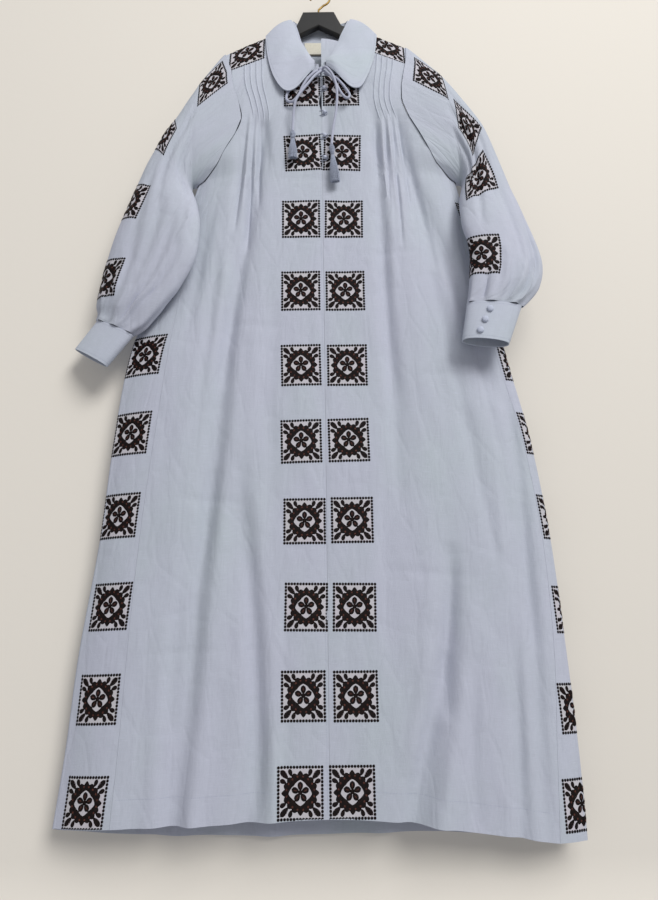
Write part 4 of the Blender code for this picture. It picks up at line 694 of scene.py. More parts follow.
def on_frame(piece, slot, *nodes):
    """The piece rides on the part's one body, in place of the nodes named."""
    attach(piece, "root")
    if nodes:
        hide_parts(*nodes)


def surface_area(grid):
    """Area of a grid of points."""
    steps = grid.points
    if grid.closed:
        steps = np.concatenate([steps, steps[:, :1]], axis=1)
    a = steps[1:, 1:] - steps[:-1, :-1]
    b = steps[1:, :-1] - steps[:-1, 1:]
    return float(np.linalg.norm(np.cross(a, b), axis=2).sum() / 2)


PIN_TUCK_HALF = 0.0062  # share of the panel's width
PIN_TUCK_HEIGHT = 0.0015
TUCK_END_RISE = 0.012  # a tuck flattens from this far above its release
TUCK_END_LENGTH = 0.014


def tuck_raise(u, z):
    """The pin tucks as narrow ridges, released into gathers below."""
    raised = sum(math.exp(-(((u - at) / PIN_TUCK_HALF) ** 2)) for at in TUCKS)
    return PIN_TUCK_HEIGHT * raised * smooth((z - TUCK_RELEASE + TUCK_END_RISE) / TUCK_END_LENGTH)


def fine_front(side):
    """The front's surface with its top and foot worked out once a column."""

    @lru_cache(maxsize=None)
    def limits(u):
        x = u * front_side(side, UNDERARM)
        for _ in range(5):
            top = front_top(side, x) - HALF_GAP
            x = u * front_side(side, top)
        x_low = u * front_side(side, HEM[0].front)
        for _ in range(3):
            low = lookup(HEM, "across", "front", x_low)
            x_low = u * front_side(side, low)
        return top, low

    def surface(u, v):
        top, low = limits(u)
        z = top + (UNDERARM - top) * v if v < 1 else UNDERARM + (low - UNDERARM) * (v - 1)
        edge = front_side(side, z) - side * HALF_GAP
        slit = SLIT_WIDTH * math.exp(-(((z - SLIT_HEIGHT) / SLIT_HALF_LENGTH) ** 2)) if side < 0 else 0
        centre = side * HALF_GAP - slit * (1 - smooth(u / 0.3))
        x = centre * (1 - u) + edge * u
        return Vector((x, front_y(x, z) - tuck_raise(u, z), z))

    return surface


cloths = {}
for name, side in (("front_left", -1), ("front_right", 1)):
    points = creased_body(grid_of(fine_front(side), front_columns, long_rows))
    piece, cloths[name] = shell(name + "_cloth", points, CLOTH, linen, turned=side > 0)
    on_frame(piece, "linen", name)
    surface_area(cloths[name])


# Side strips: a band of the same linen let in at each side. Its front seam is straight, and its width
# goes round the side fold to the back panel.

def back_y(x, z):
    return MIDDLE_DEPTH + standing("back", x, z, BACK_FOLDS)


def side_wall(side, q, z, lift=0.0):
    """Point on the body near a side fold, at a distance q from it: plus in front, minus behind."""
    column = "left_edge" if side < 0 else "right_edge"
    edge = lookup(BODY, "height", column, z)
    turn = FOLD_RADIUS * math.pi / 2
    if abs(q) < turn:
        angle = q / FOLD_RADIUS
        x = edge - side * (FOLD_RADIUS - (FOLD_RADIUS + lift) * math.cos(angle))
        return Vector((x, MIDDLE_DEPTH - (FOLD_RADIUS + lift) * math.sin(angle), z))
    x = edge - side * (FOLD_RADIUS + abs(q) - turn)
    y = front_y(x, z) - lift if q > 0 else back_y(x, z) + lift
    return Vector((x, y, z))


def strip_reach(side, z):
    """Distances from the side fold to the strip's front seam and to its back seam."""
    edge = lookup(BODY, "height", "left_edge" if side < 0 else "right_edge", z)
    seam = lookup(BODY, "height", "left_seam" if side < 0 else "right_seam", z)
    behind = lookup(BODY, "height", "left_behind" if side < 0 else "right_behind", z)
    return FOLD_RADIUS * math.pi / 2 + abs(edge - seam) - FOLD_RADIUS, -behind


def strip_top(q):
    """Height of a side strip's top edge: it rises towards the back."""
    return UNDERARM - HALF_GAP + 0.030 * smooth(-q / 0.075)


def strip_foot(side, front):
    """Place across and height of a strip's front or back seam at the hem."""
    column = "front" if front else "back"
    low = lookup(HEM, "across", column, side * 0.4)
    for _ in range(3):
        q = strip_reach(side, low)[0 if front else 1]
        foot = side_wall(side, q, low).x
        low = lookup(HEM, "across", column, foot)
    return foot, low


FOLD_FROM = 0.36
FOLD_TO = 0.78
FOLD_MARGIN = 0.004


def strip_place(side, u, z):
    """Distance from the side fold, with the turn of the fold always on the same columns."""
    front, back = strip_reach(side, z)
    turn = FOLD_RADIUS * math.pi / 2
    start = front - HALF_GAP
    end = back + HALF_GAP
    enter = min(turn, start - FOLD_MARGIN)
    leave = max(-turn, end + FOLD_MARGIN)
    if u < FOLD_FROM:
        return start + (enter - start) * u / FOLD_FROM
    if u < FOLD_TO:
        return enter + (leave - enter) * (u - FOLD_FROM) / (FOLD_TO - FOLD_FROM)
    return leave + (end - leave) * (u - FOLD_TO) / (1 - FOLD_TO)


def strip_surface(side):
    front_low = strip_foot(side, True)[1]
    back_low = strip_foot(side, False)[1]

    def surface(u, v):
        top = strip_top(strip_place(side, u, UNDERARM))
        low = front_low + (back_low - front_low) * u
        z = top + (low - top) * v
        return side_wall(side, strip_place(side, u, z), z)

    return surface


for name, side in (("side_left", -1), ("side_right", 1)):
    columns = spread(0.0, FOLD_FROM, 8)[:-1] + spread(FOLD_FROM, 1.0, 16)
    points = grid_of(strip_surface(side), columns, down_rows)
    front_half = points[..., 1] < -FOLD_RADIUS
    bent = creased_body(points)
    points[front_half] = bent[front_half]
    piece, cloths[name] = shell(name + "_cloth", points, CLOTH, linen, turned=side > 0)
    on_frame(piece, "linen", name)
    surface_area(cloths[name])


# Back: one wide linen panel sewn to the yoke's lower edge, which hangs in soft flutes.

BACK_TOP_LEFT = -0.1700
BACK_TOP_RIGHT = 0.1580


def back_surface(u, v):
    """The back hangs from the yoke seam, between the armholes and then between the strips' back seams."""
    turn = FOLD_RADIUS * math.pi / 2
    left_top = strip_top(strip_reach(-1, UNDERARM)[1])
    right_top = strip_top(strip_reach(1, UNDERARM)[1])
    corner = left_top + (right_top - left_top) * u
    top = BACK_YOKE_HEIGHT - HALF_GAP
    left_foot, right_foot = strip_foot(-1, False)[0], strip_foot(1, False)[0]
    low = lookup(HEM, "across", "back", left_foot + (right_foot - left_foot) * u)
    z = top + (corner - top) * v if v <= 1 else corner + (low - corner) * (v - 1)
    whole = lookup(BODY, "height", "right_edge", z) - lookup(BODY, "height", "left_edge", z)
    whole += 2 * (turn - FOLD_RADIUS)
    start = HALF_GAP - strip_reach(-1, z)[1]
    end = whole + strip_reach(1, z)[1] - HALF_GAP
    if v < 1:
        start_top = BACK_TOP_LEFT - lookup(BODY, "height", "left_edge", z) + turn - FOLD_RADIUS
        end_top = whole - (lookup(BODY, "height", "right_edge", z) - BACK_TOP_RIGHT) - turn + FOLD_RADIUS
        start += (start_top - start) * (1 - v)
        end += (end_top - end) * (1 - v)
    along = start + (end - start) * u
    if along < whole / 2:
        return side_wall(-1, -along, z)
    return side_wall(1, along - whole, z)


back_columns = spread(0.0, 0.03, 4)[:-1] + spread(0.03, 1.0, 96)
back_rows = spread(0.0, 1.0, 24)[:-1] + [row for row in long_rows if row >= 1]
points = creased_body(grid_of(back_surface, back_columns, back_rows), behind=True)
piece, cloths["back"] = shell("back_cloth", points, CLOTH, linen, turned=True, zero=50)
on_frame(piece, "linen", "back")
surface_area(cloths["back"])


# Yoke: smooth pressed linen over both shoulders. It lies on the hanger's arms, and the panels and
# sleeves are sewn to its edges.

# Outer edge of the yoke: up the left front, over the shoulder, down the back, across and back again
YokeEdge = namedtuple("YokeEdge", "along across around")
YOKE_EDGE = [
    YokeEdge(0.200, -0.1745, -0.0680),
    YokeEdge(0.225, -0.1810, -0.0450),
    YokeEdge(0.250, -0.1865, -0.0250),
    YokeEdge(0.270, -0.1895, -0.0111),
    YokeEdge(0.285, -0.1900, -0.0055),
    YokeEdge(0.300, -0.1900, 0.0000),
    YokeEdge(0.315, -0.1900, 0.0055),
    YokeEdge(0.330, -0.1895, 0.0111),
    YokeEdge(0.350, -0.1880, 0.0270),
    YokeEdge(0.370, -0.1840, 0.0550),
    YokeEdge(0.395, -0.1760, 0.1000),
    YokeEdge(0.420, -0.1700, 0.1410),
    YokeEdge(0.460, -0.0900, 0.1800),
    YokeEdge(0.500, 0.0000, 0.2180),
    YokeEdge(0.540, 0.0900, 0.1800),
    YokeEdge(0.580, 0.1580, 0.1470),
    YokeEdge(0.605, 0.1620, 0.1000),
    YokeEdge(0.630, 0.1650, 0.0550),
    YokeEdge(0.650, 0.1670, 0.0270),
    YokeEdge(0.670, 0.1680, 0.0111),
    YokeEdge(0.685, 0.1680, 0.0055),
    YokeEdge(0.700, 0.1680, 0.0000),
    YokeEdge(0.715, 0.1680, -0.0055),
    YokeEdge(0.730, 0.1680, -0.0111),
    YokeEdge(0.750, 0.1675, -0.0250),
    YokeEdge(0.775, 0.1665, -0.0420),
    YokeEdge(0.800, 0.1640, -0.0600),
]


def straight(rows, key, column, at):
    """Value of one column at a place between a table's rows, joined by straight lines."""
    for before, after in zip(rows, rows[1:]):
        low, high = getattr(before, key), getattr(after, key)
        if min(low, high) <= at <= max(low, high):
            share = (at - low) / (high - low)
            return getattr(before, column) * (1 - share) + getattr(after, column) * share
    nearest = rows[0] if abs(at - getattr(rows[0], key)) < abs(at - getattr(rows[-1], key)) else rows[-1]
    return getattr(nearest, column)


def around_at(x, z):
    """Distance round the shoulder, past its turn, of a point at a height."""
    return RIDGE_ARC + (ridge(x) - z - RIDGE_DROP) / RIDGE_FALL


def over_shoulder(x, around, lift=0.0):
    """Point on the shoulders at a place across and a distance round them."""
    sign = -1 if around < 0 else 1
    if abs(around) < RIDGE_ARC:
        angle = abs(around) / RIDGE_RADIUS
        radius = RIDGE_RADIUS + lift
        y = sign * radius * math.sin(angle)
        return Vector((x, y, ridge(x) - RIDGE_RADIUS + radius * math.cos(angle)))
    z = height_round(x, around)
    y = front_y(x, z) - lift if sign < 0 else back_y(x, z) + lift
    return Vector((x, y, z))


def yoke_surface(u, v):
    along = 0.2 + 0.6 * u
    neck_x = lookup(NECK, "along", "across", along)
    neck_around = lookup(NECK, "along", "around", along)
    edge_x = straight(YOKE_EDGE, "along", "across", along)
    edge_around = straight(YOKE_EDGE, "along", "around", along)
    if 0.42 < along < 0.58:
        edge_around = around_at(edge_x, BACK_YOKE_HEIGHT)
    if edge_around > BACK_CORNER:
        edge_around -= HALF_GAP
    x = neck_x + (edge_x - neck_x) * v
    around = neck_around + (edge_around - neck_around) * v
    return over_shoulder(x, around)


BACK_CORNER = 0.13  # distance round the shoulder where the yoke's back seam starts
RING_BACK_SHARES = (0.35, 0.7)

linen_smooth = linen_look("linen_pressed", (183, 188, 203), 0.45)

points = grid_of(yoke_surface, spread(0.0, 1.0, 130), spread(0.0, 1.0, 24))
piece, cloths["yoke"] = shell("yoke_cloth", points, CLOTH, linen_smooth, zero=65)
on_frame(piece, "linen", "yoke")
surface_area(cloths["yoke"])


# Collar: a doubled linen stand sewn round the neck, and one collar with round ends turned down over it.

# Roll line of the collar, and the edge of its leaves as place across and distance round the shoulder
Leaf = namedtuple("Leaf", "along roll_x roll_y roll_z edge_across edge_around edge_lift")
COLLAR = [
    Leaf(0.010, -0.0120, -0.0370, -0.2030, -0.0125, -0.1524, 0.0100),
    Leaf(0.045, -0.0170, -0.0330, -0.1940, -0.0230, -0.1650, 0.0110),
    Leaf(0.085, -0.0260, -0.0285, -0.1740, -0.0340, -0.1777, 0.0115),
    Leaf(0.110, -0.0310, -0.0255, -0.1630, -0.0470, -0.1900, 0.0115),
    Leaf(0.135, -0.0350, -0.0225, -0.1520, -0.0620, -0.1911, 0.0110),
    Leaf(0.170, -0.0427, -0.0190, -0.1368, -0.0780, -0.1720, 0.0100),
    Leaf(0.205, -0.0475, -0.0165, -0.1174, -0.0940, -0.1277, 0.0065),
    Leaf(0.240, -0.0525, -0.0125, -0.0966, -0.1050, -0.0685, 0.0050),
    Leaf(0.270, -0.0572, -0.0070, -0.0800, -0.1095, -0.0170, 0.0045),
    Leaf(0.285, -0.0590, -0.0035, -0.0735, -0.1103, -0.0075, 0.0042),
    Leaf(0.300, -0.0600, 0.0000, -0.0690, -0.1105, 0.0000, 0.0040),
    Leaf(0.315, -0.0600, 0.0035, -0.0665, -0.1100, 0.0075, 0.0042),
    Leaf(0.330, -0.0590, 0.0075, -0.0650, -0.1090, 0.0170, 0.0045),
    Leaf(0.365, -0.0540, 0.0160, -0.0620, -0.0990, 0.0360, 0.0045),
    Leaf(0.430, -0.0310, 0.0260, -0.0590, -0.0620, 0.0700, 0.0040),
    Leaf(0.500, 0.0000, 0.0300, -0.0580, 0.0000, 0.0930, 0.0035),
    Leaf(0.570, 0.0310, 0.0260, -0.0590, 0.0620, 0.0700, 0.0040),
    Leaf(0.635, 0.0540, 0.0160, -0.0620, 0.0990, 0.0360, 0.0045),
    Leaf(0.670, 0.0585, 0.0075, -0.0650, 0.1100, 0.0170, 0.0045),
    Leaf(0.685, 0.0595, 0.0035, -0.0665, 0.1115, 0.0075, 0.0042),
    Leaf(0.700, 0.0590, 0.0000, -0.0690, 0.1120, 0.0000, 0.0040),
    Leaf(0.715, 0.0590, -0.0035, -0.0735, 0.1115, -0.0075, 0.0042),
    Leaf(0.730, 0.0572, -0.0070, -0.0800, 0.1105, -0.0170, 0.0045),
    Leaf(0.760, 0.0525, -0.0125, -0.0966, 0.1050, -0.0685, 0.0050),
    Leaf(0.795, 0.0437, -0.0165, -0.1194, 0.0920, -0.1277, 0.0065),
    Leaf(0.830, 0.0378, -0.0190, -0.1378, 0.0780, -0.1700, 0.0100),
    Leaf(0.865, 0.0310, -0.0225, -0.1540, 0.0660, -0.1840, 0.0110),
    Leaf(0.890, 0.0260, -0.0255, -0.1650, 0.0540, -0.1850, 0.0115),
    Leaf(0.915, 0.0210, -0.0285, -0.1770, 0.0410, -0.1750, 0.0115),
    Leaf(0.955, 0.0130, -0.0330, -0.1920, 0.0260, -0.1600, 0.0110),
    Leaf(0.990, 0.0085, -0.0370, -0.1990, 0.0095, -0.1462, 0.0100),
]
STAND_INSET = 0.0050
STAND_TIP_SHARE = 0.15  # how far across the stand's ends lie, as a share of the roll line's end
STAND_DROP = 0.0030
STAND_LIFT = 0.0028
LEAF_SWELL = 0.0065
LEAF_FULL_LENGTH = 0.045
LEAF_SKEW = 0.7  # below one moves the swell towards the roll line
LEAF_RISE = 0.5  # how far the swell goes up for each bit outwards
HANGER_ROOM = 0.012  # the swell turns forward this much beside the hanger


def roll_point(along):
    return Vector([lookup(COLLAR, "along", column, along) for column in ("roll_x", "roll_y", "roll_z")])


STAND_START = 0.004
COLLAR_START = COLLAR[0].along
COLLAR_END = COLLAR[-1].along


def stand_surface(u, v):
    along = STAND_START + (1 - 2 * STAND_START) * u
    place_on = lookup(NECK, "along", "across", along), lookup(NECK, "along", "around", along)
    foot = over_shoulder(*place_on, STAND_LIFT)
    head = roll_point(min(max(along, COLLAR_START), COLLAR_END))
    if along < COLLAR_START or along > COLLAR_END:
        share = min(along, 1 - along) / COLLAR_START
        head.x *= STAND_TIP_SHARE + (1 - STAND_TIP_SHARE) * share
    head -= Vector((head.x, head.y, 0)).normalized() * STAND_INSET + Vector((0, 0, STAND_DROP))
    return foot + (head - foot) * v


points = grid_of(stand_surface, spread(0.0, 1.0, 110), spread(0.0, 1.0, 8))
piece, cloths["stand"] = shell("collar_stand_cloth", points, DOUBLE_CLOTH, linen_smooth, turned=True, zero=55)
on_frame(piece, "linen", "collar_stand")
surface_area(cloths["stand"])


def collar_surface(u, v):
    along = COLLAR_START + (COLLAR_END - COLLAR_START) * u
    roll = roll_point(along)
    edge_columns = ("edge_across", "edge_around", "edge_lift")
    edge = over_shoulder(*[lookup(COLLAR, "along", column, along) for column in edge_columns])
    point = roll + (edge - roll) * v
    fullness = min((edge - roll).length / LEAF_FULL_LENGTH, 1)
    swell = LEAF_SWELL * math.sin(math.pi * max(v, 0) ** LEAF_SKEW) * fullness
    outward = Vector((roll.x, roll.y - HANGER_ROOM if roll.y < 0.01 else roll.y, 0)).normalized()
    return point + outward * swell + Vector((0, 0, LEAF_RISE * swell))


points = grid_of(collar_surface, spread(0.0, 1.0, 140), spread(0.0, 1.0, 22))
piece, cloths["collar"] = shell("collar_cloth", points, DOUBLE_CLOTH, linen_smooth, zero=70)
on_frame(piece, "linen", "collar")
surface_area(cloths["collar"])


# Sleeves: full tubes of linen set in at the armhole, crumpled where they hang, and laid in small
# pleats where the cuff takes them in.

# The outer and inner edge at each station, and how far the cloth swells to front and back
Sleeve = namedtuple("Sleeve", "along out_x out_y out_z in_x in_y in_z front back")
SLEEVE_LEFT = [
    Sleeve(0.05, -0.2060, -0.001, -0.1760, -0.2400, -0.001, -0.4520, 0.034, 0.0200),
    Sleeve(0.11, -0.2380, -0.004, -0.2320, -0.2440, -0.001, -0.4530, 0.036, 0.0190),
    Sleeve(0.18, -0.2680, -0.008, -0.2900, -0.2460, -0.003, -0.4570, 0.035, 0.0170),
    Sleeve(0.26, -0.3060, -0.012, -0.3600, -0.2455, -0.008, -0.4640, 0.032, 0.0150),
    Sleeve(0.34, -0.3300, -0.014, -0.4150, -0.2400, -0.018, -0.4790, 0.028, 0.0130),
    Sleeve(0.45, -0.3500, -0.014, -0.4750, -0.2280, -0.037, -0.5180, 0.025, 0.0115),
    Sleeve(0.56, -0.3720, -0.012, -0.5320, -0.2210, -0.049, -0.5680, 0.024, 0.0120),
    Sleeve(0.68, -0.3930, -0.009, -0.6030, -0.2270, -0.053, -0.6300, 0.025, 0.0120),
    Sleeve(0.79, -0.4070, -0.004, -0.6700, -0.2500, -0.048, -0.6790, 0.026, 0.0120),
    Sleeve(0.88, -0.4110, 0.000, -0.6930, -0.2800, -0.042, -0.7160, 0.024, 0.0120),
    Sleeve(0.95, -0.4090, 0.004, -0.7080, -0.3120, -0.033, -0.7480, 0.019, 0.0120),
    Sleeve(1.00, -0.4120, 0.006, -0.7190, -0.3360, -0.028, -0.7600, 0.015, 0.0130),
]
SLEEVE_RIGHT = [
    Sleeve(0.05, 0.1840, -0.001, -0.1640, 0.2560, -0.002, -0.4520, 0.034, 0.0200),
    Sleeve(0.11, 0.2270, -0.004, -0.2100, 0.2600, -0.001, -0.4525, 0.036, 0.0190),
    Sleeve(0.18, 0.2640, -0.009, -0.2650, 0.2625, -0.003, -0.4560, 0.036, 0.0170),
    Sleeve(0.26, 0.3020, -0.014, -0.3330, 0.2630, -0.008, -0.4630, 0.034, 0.0150),
    Sleeve(0.34, 0.3230, -0.018, -0.4000, 0.2590, -0.018, -0.4780, 0.030, 0.0130),
    Sleeve(0.45, 0.3420, -0.024, -0.4720, 0.2490, -0.038, -0.5190, 0.027, 0.0120),
    Sleeve(0.56, 0.3640, -0.030, -0.5430, 0.2470, -0.054, -0.5700, 0.026, 0.0130),
    Sleeve(0.68, 0.3830, -0.038, -0.6130, 0.2540, -0.060, -0.6120, 0.026, 0.0150),
    Sleeve(0.79, 0.3860, -0.044, -0.6570, 0.2540, -0.060, -0.6530, 0.026, 0.0160),
    Sleeve(0.88, 0.3750, -0.048, -0.6920, 0.2510, -0.060, -0.6860, 0.024, 0.0160),
    Sleeve(0.95, 0.3550, -0.051, -0.7170, 0.2480, -0.060, -0.7110, 0.021, 0.0170),
    Sleeve(1.00, 0.3420, -0.053, -0.7290, 0.2460, -0.060, -0.7240, 0.018, 0.0170),
]
CAP_LIFT = 0.0024
PLEATS = 7
PLEAT_DEPTH = 0.0030
PLEAT_START = 0.74

# The sleeve's first ring round the side fold: distance from the fold, and drop below the armhole
Lap = namedtuple("Lap", "reach drop")
LAPS = [
    Lap(0.0210, -0.0060),
    Lap(0.0125, 0.0010),
    Lap(0.0060, 0.0050),
    Lap(0.0000, 0.0065),
    Lap(-0.0060, 0.0040),
    Lap(-0.0125, -0.0020),
    Lap(-0.0250, -0.0090),
    Lap(-0.0400, -0.0190),
    Lap(-0.0560, -0.0340),
]


def armhole_ring(side):
    """First ring of a sleeve: laid over the armhole's edge, down the front and up the back."""
    rows = YOKE_EDGE if side < 0 else YOKE_EDGE[::-1]
    front = [row for row in rows[:len(rows) // 2] if row.around <= 0]
    back = [row for row in rows[:len(rows) // 2] if 0 < row.around < BACK_CORNER]
    points = [over_shoulder(row.across, row.around, CAP_LIFT) for row in reversed(front)]
    for row in ARMHOLE[2:-1]:
        x = row.left if side < 0 else row.right
        points.append(Vector((x, front_y(x, row.height) - CAP_LIFT, row.height)))
    for lap in LAPS:
        points.append(side_wall(side, lap.reach, UNDERARM - lap.drop, CAP_LIFT))
    corner = points[-1]
    low = over_shoulder(back[-1].across, back[-1].around, CAP_LIFT)
    for share in RING_BACK_SHARES:
        x = corner.x + (low.x - corner.x) * share
        z = corner.z + (low.z - corner.z) * share
        points.append(Vector((x, back_y(x, z) + CAP_LIFT, z)))
    points += [over_shoulder(row.across, row.around, CAP_LIFT) for row in reversed(back)]
    return points


BLUNTNESS = 0.85  # below one makes the sleeve's edges rounder


def loop_section(row, angle, growth=0.0):
    """Point on a flattened ring between an outer and an inner edge, swelling to front and back."""
    outer = Vector((row.out_x, row.out_y, row.out_z))
    inner = Vector((row.in_x, row.in_y, row.in_z))
    half = (outer - inner) / 2
    front = Vector((0, -1, 0))
    front -= half.normalized() * front.dot(half.normalized())
    front.normalize()
    across = math.cos(angle)
    forward = math.copysign(abs(math.sin(angle)) ** BLUNTNESS, math.sin(angle))
    size = (row.front if forward > 0 else row.back) + growth
    return (outer + inner) / 2 + half * across * (1 + growth / half.length) + front * forward * size


def row_between(rows, kind, along):
    """A table row worked out between two others."""
    columns = [column for column in kind._fields if column != "along"]
    values = {column: lookup(rows, "along", column, along) for column in columns}
    return kind(along=along, **values)


SLEEVE_HEAD = 0.11
HEAD_PUSH = 0.024  # how strongly the cloth leaves the armhole outwards
HEAD_FALL = 0.25


def sleeve_turns(ring):
    """Angle round the sleeve's loops of each point of its first ring, going by the point's height."""
    heights = [point.z for point in ring]
    top, foot = max(heights), min(heights)
    lowest = heights.index(foot)
    turns = []
    for i, z in enumerate(heights):
        angle = math.acos(min(max(2 * (z - foot) / (top - foot) - 1, -1), 1))
        turns.append(angle if i <= lowest else 2 * math.pi - angle)
    return turns


def sleeve_surface(side):
    rows = SLEEVE_LEFT if side < 0 else SLEEVE_RIGHT
    ring = armhole_ring(side)
    turns = sleeve_turns(ring)
    count = len(ring)
    push = Vector((side, 0, -HEAD_FALL)).normalized() * HEAD_PUSH
    head = row_between(rows, Sleeve, SLEEVE_HEAD)

    def surface(u, v):
        place_on = (u % 1.0) * count
        index = int(place_on) % count
        share = place_on - int(place_on)
        after = (index + 1) % count
        angle = turns[index] + ((turns[after] or 2 * math.pi) - turns[index]) * share
        along = max(v, 0.0)
        if along >= SLEEVE_HEAD:
            pleats = math.cos(PLEATS * angle) * smooth((along - PLEAT_START) / (1 - PLEAT_START))
            return loop_section(row_between(rows, Sleeve, along), angle, PLEAT_DEPTH * pleats)
        start = ring[index].lerp(ring[after], share)
        end = loop_section(head, angle)
        t = along / SLEEVE_HEAD
        rise = 3 * t * t - 2 * t * t * t
        bend = t * t * t - 2 * t * t + t
        return start + (end - start) * rise + push * bend

    return surface, count


# Share of the way down and degrees round from the outer edge (plus is in front),
# from one end to the other, with half width and depth
Pinch = namedtuple("Pinch", "along turn to_along to_turn half_width depth")
PINCHES_LEFT = [
    Pinch(0.06, 70, 0.50, 88, 0.0100, 0.0034),
    Pinch(0.10, 100, 0.40, 125, 0.0080, 0.0030),
    Pinch(0.20, 120, 0.44, 148, 0.0080, 0.0034),
    Pinch(0.30, 58, 0.74, 66, 0.0110, 0.0026),
    Pinch(0.46, 96, 0.90, 84, 0.0100, 0.0036),
    Pinch(0.52, 118, 0.97, 98, 0.0080, 0.0036),
    Pinch(0.58, 72, 0.98, 70, 0.0080, 0.0032),
    Pinch(0.66, 50, 0.98, 54, 0.0080, 0.0028),
    Pinch(0.62, 134, 0.99, 116, 0.0070, 0.0040),
    Pinch(0.72, 86, 0.99, 84, 0.0055, -0.0026),
    Pinch(0.78, 106, 1.00, 104, 0.0050, 0.0040),
    Pinch(0.80, 62, 1.00, 62, 0.0050, 0.0034),
    Pinch(0.84, 34, 1.00, 38, 0.0050, 0.0028),
    Pinch(0.48, 150, 0.64, 132, 0.0060, -0.0030),
    Pinch(0.08, 250, 0.52, 262, 0.0110, 0.0030),
    Pinch(0.30, 286, 0.86, 276, 0.0110, 0.0030),
    Pinch(0.60, 244, 0.98, 250, 0.0080, 0.0032),
    Pinch(0.74, 300, 0.99, 292, 0.0070, 0.0032),
]
PINCHES_RIGHT = [
    Pinch(0.05, 104, 0.40, 134, 0.0080, 0.0036),
    Pinch(0.08, 80, 0.46, 118, 0.0090, 0.0030),
    Pinch(0.12, 56, 0.52, 84, 0.0100, 0.0028),
    Pinch(0.30, 104, 0.62, 124, 0.0100, 0.0030),
    Pinch(0.42, 66, 0.86, 74, 0.0110, 0.0032),
    Pinch(0.56, 36, 0.94, 44, 0.0070, 0.0046),
    Pinch(0.60, 52, 0.99, 58, 0.0060, 0.0042),
    Pinch(0.66, 84, 0.99, 82, 0.0070, 0.0032),
    Pinch(0.72, 104, 0.99, 100, 0.0065, 0.0030),
    Pinch(0.78, 68, 1.00, 70, 0.0045, -0.0030),
    Pinch(0.80, 128, 1.00, 124, 0.0060, 0.0034),
    Pinch(0.84, 46, 1.00, 50, 0.0040, -0.0028),
    Pinch(0.08, 252, 0.52, 262, 0.0110, 0.0030),
    Pinch(0.34, 284, 0.86, 276, 0.0110, 0.0030),
    Pinch(0.60, 240, 0.98, 250, 0.0080, 0.0032),
    Pinch(0.74, 304, 0.99, 296, 0.0070, 0.0032),
]

SLEEVE_CREASE_STRENGTH = 1.5


def creased_sleeve(side, points, angles, rows, table):
    """Sleeve creases pressed in along the cloth's own normal."""
    normals = normals_of(points, True, side < 0)
    radius = 0.075
    length = 0.62
    turn, along = np.meshgrid(angles, rows)
    scaled = [Pinch(row.along * length, math.radians(row.turn) * radius, row.to_along * length,
                    math.radians(row.to_turn) * radius, row.half_width, row.depth) for row in table]
    depth = crease_field(scaled, along * length, turn * radius)
    depth += unevenness(points[..., 0], points[..., 2], 3.0 + side)
    fade = np.clip((along - 0.03) / 0.10, 0, 1) * np.clip((1.0 - along) / 0.03, 0.15, 1)
    return points - normals * (SLEEVE_CREASE_STRENGTH * depth * fade)[..., None]


SLEEVE_RING = 96
sleeve_rows = spread(0.0, 0.11, 12)[:-1] + spread(0.11, 0.80, 56)[:-1] + spread(0.80, 1.0, 26)
for name, side, table in (("sleeve_left", -1, PINCHES_LEFT), ("sleeve_right", 1, PINCHES_RIGHT)):
    surface, ring_count = sleeve_surface(side)
    turns = sleeve_turns(armhole_ring(side)) + [2 * math.pi]
    columns = spread(0.0, 1.0, SLEEVE_RING)[:-1]
    angles = [np.interp(u * ring_count, range(ring_count + 1), turns) for u in columns]
    points = creased_sleeve(side, grid_of(surface, columns, sleeve_rows), angles, sleeve_rows, table)
    piece, cloths[name] = shell(name + "_cloth", points, CLOTH, linen, closed=True, turned=side < 0)
    on_frame(piece, "linen", name)
    surface_area(cloths[name])


# Cuffs: doubled linen bands round the wrists.

Cuff = namedtuple("Cuff", "out_x out_y out_z in_x in_y in_z front back")
CUFF_LEFT = [
    Cuff(-0.4100, 0.006, -0.7200, -0.3350, -0.028, -0.7610, 0.0145, 0.0125),
    Cuff(-0.4480, 0.010, -0.7730, -0.3810, -0.021, -0.8150, 0.0160, 0.0140),
]
CUFF_RIGHT = [
    Cuff(0.3412, -0.053, -0.7291, 0.2463, -0.060, -0.7241, 0.0175, 0.0165),
    Cuff(0.3140, -0.055, -0.7990, 0.2340, -0.058, -0.7910, 0.0200, 0.0180),
]
CUFF_GAP = 0.0004
CUFF_LENGTH = 0.07


def cuff_surface(side):
    top, low = CUFF_LEFT if side < 0 else CUFF_RIGHT

    def surface(u, v):
        angle = 2 * math.pi * u
        return loop_section(top, angle).lerp(loop_section(low, angle), v)

    return surface


for name, side in (("cuff_left", -1), ("cuff_right", 1)):
    points = grid_of(cuff_surface(side), spread(0.0, 1.0, 84)[:-1], spread(CUFF_GAP / CUFF_LENGTH, 1.0, 16))
    piece, cloths[name] = shell(name + "_cloth", points, DOUBLE_CLOTH, linen_smooth, closed=True,
                                turned=side < 0)
    on_frame(piece, "linen", name)
    surface_area(cloths[name])


# Embroidery: one folk medallion in near-black thread on a bare linen ground, repeated down both
# fronts, the side strips and the sleeves, and over the yoke. It is drawn as filled shapes, in
# shares of the motif's side, and set on the cloth square by square.

MOTIF_WIDTH = 0.0687
MOTIF_HEIGHT = 0.0749
STITCH_HIGH = 0.00065
STITCH_LOW = 0.00030


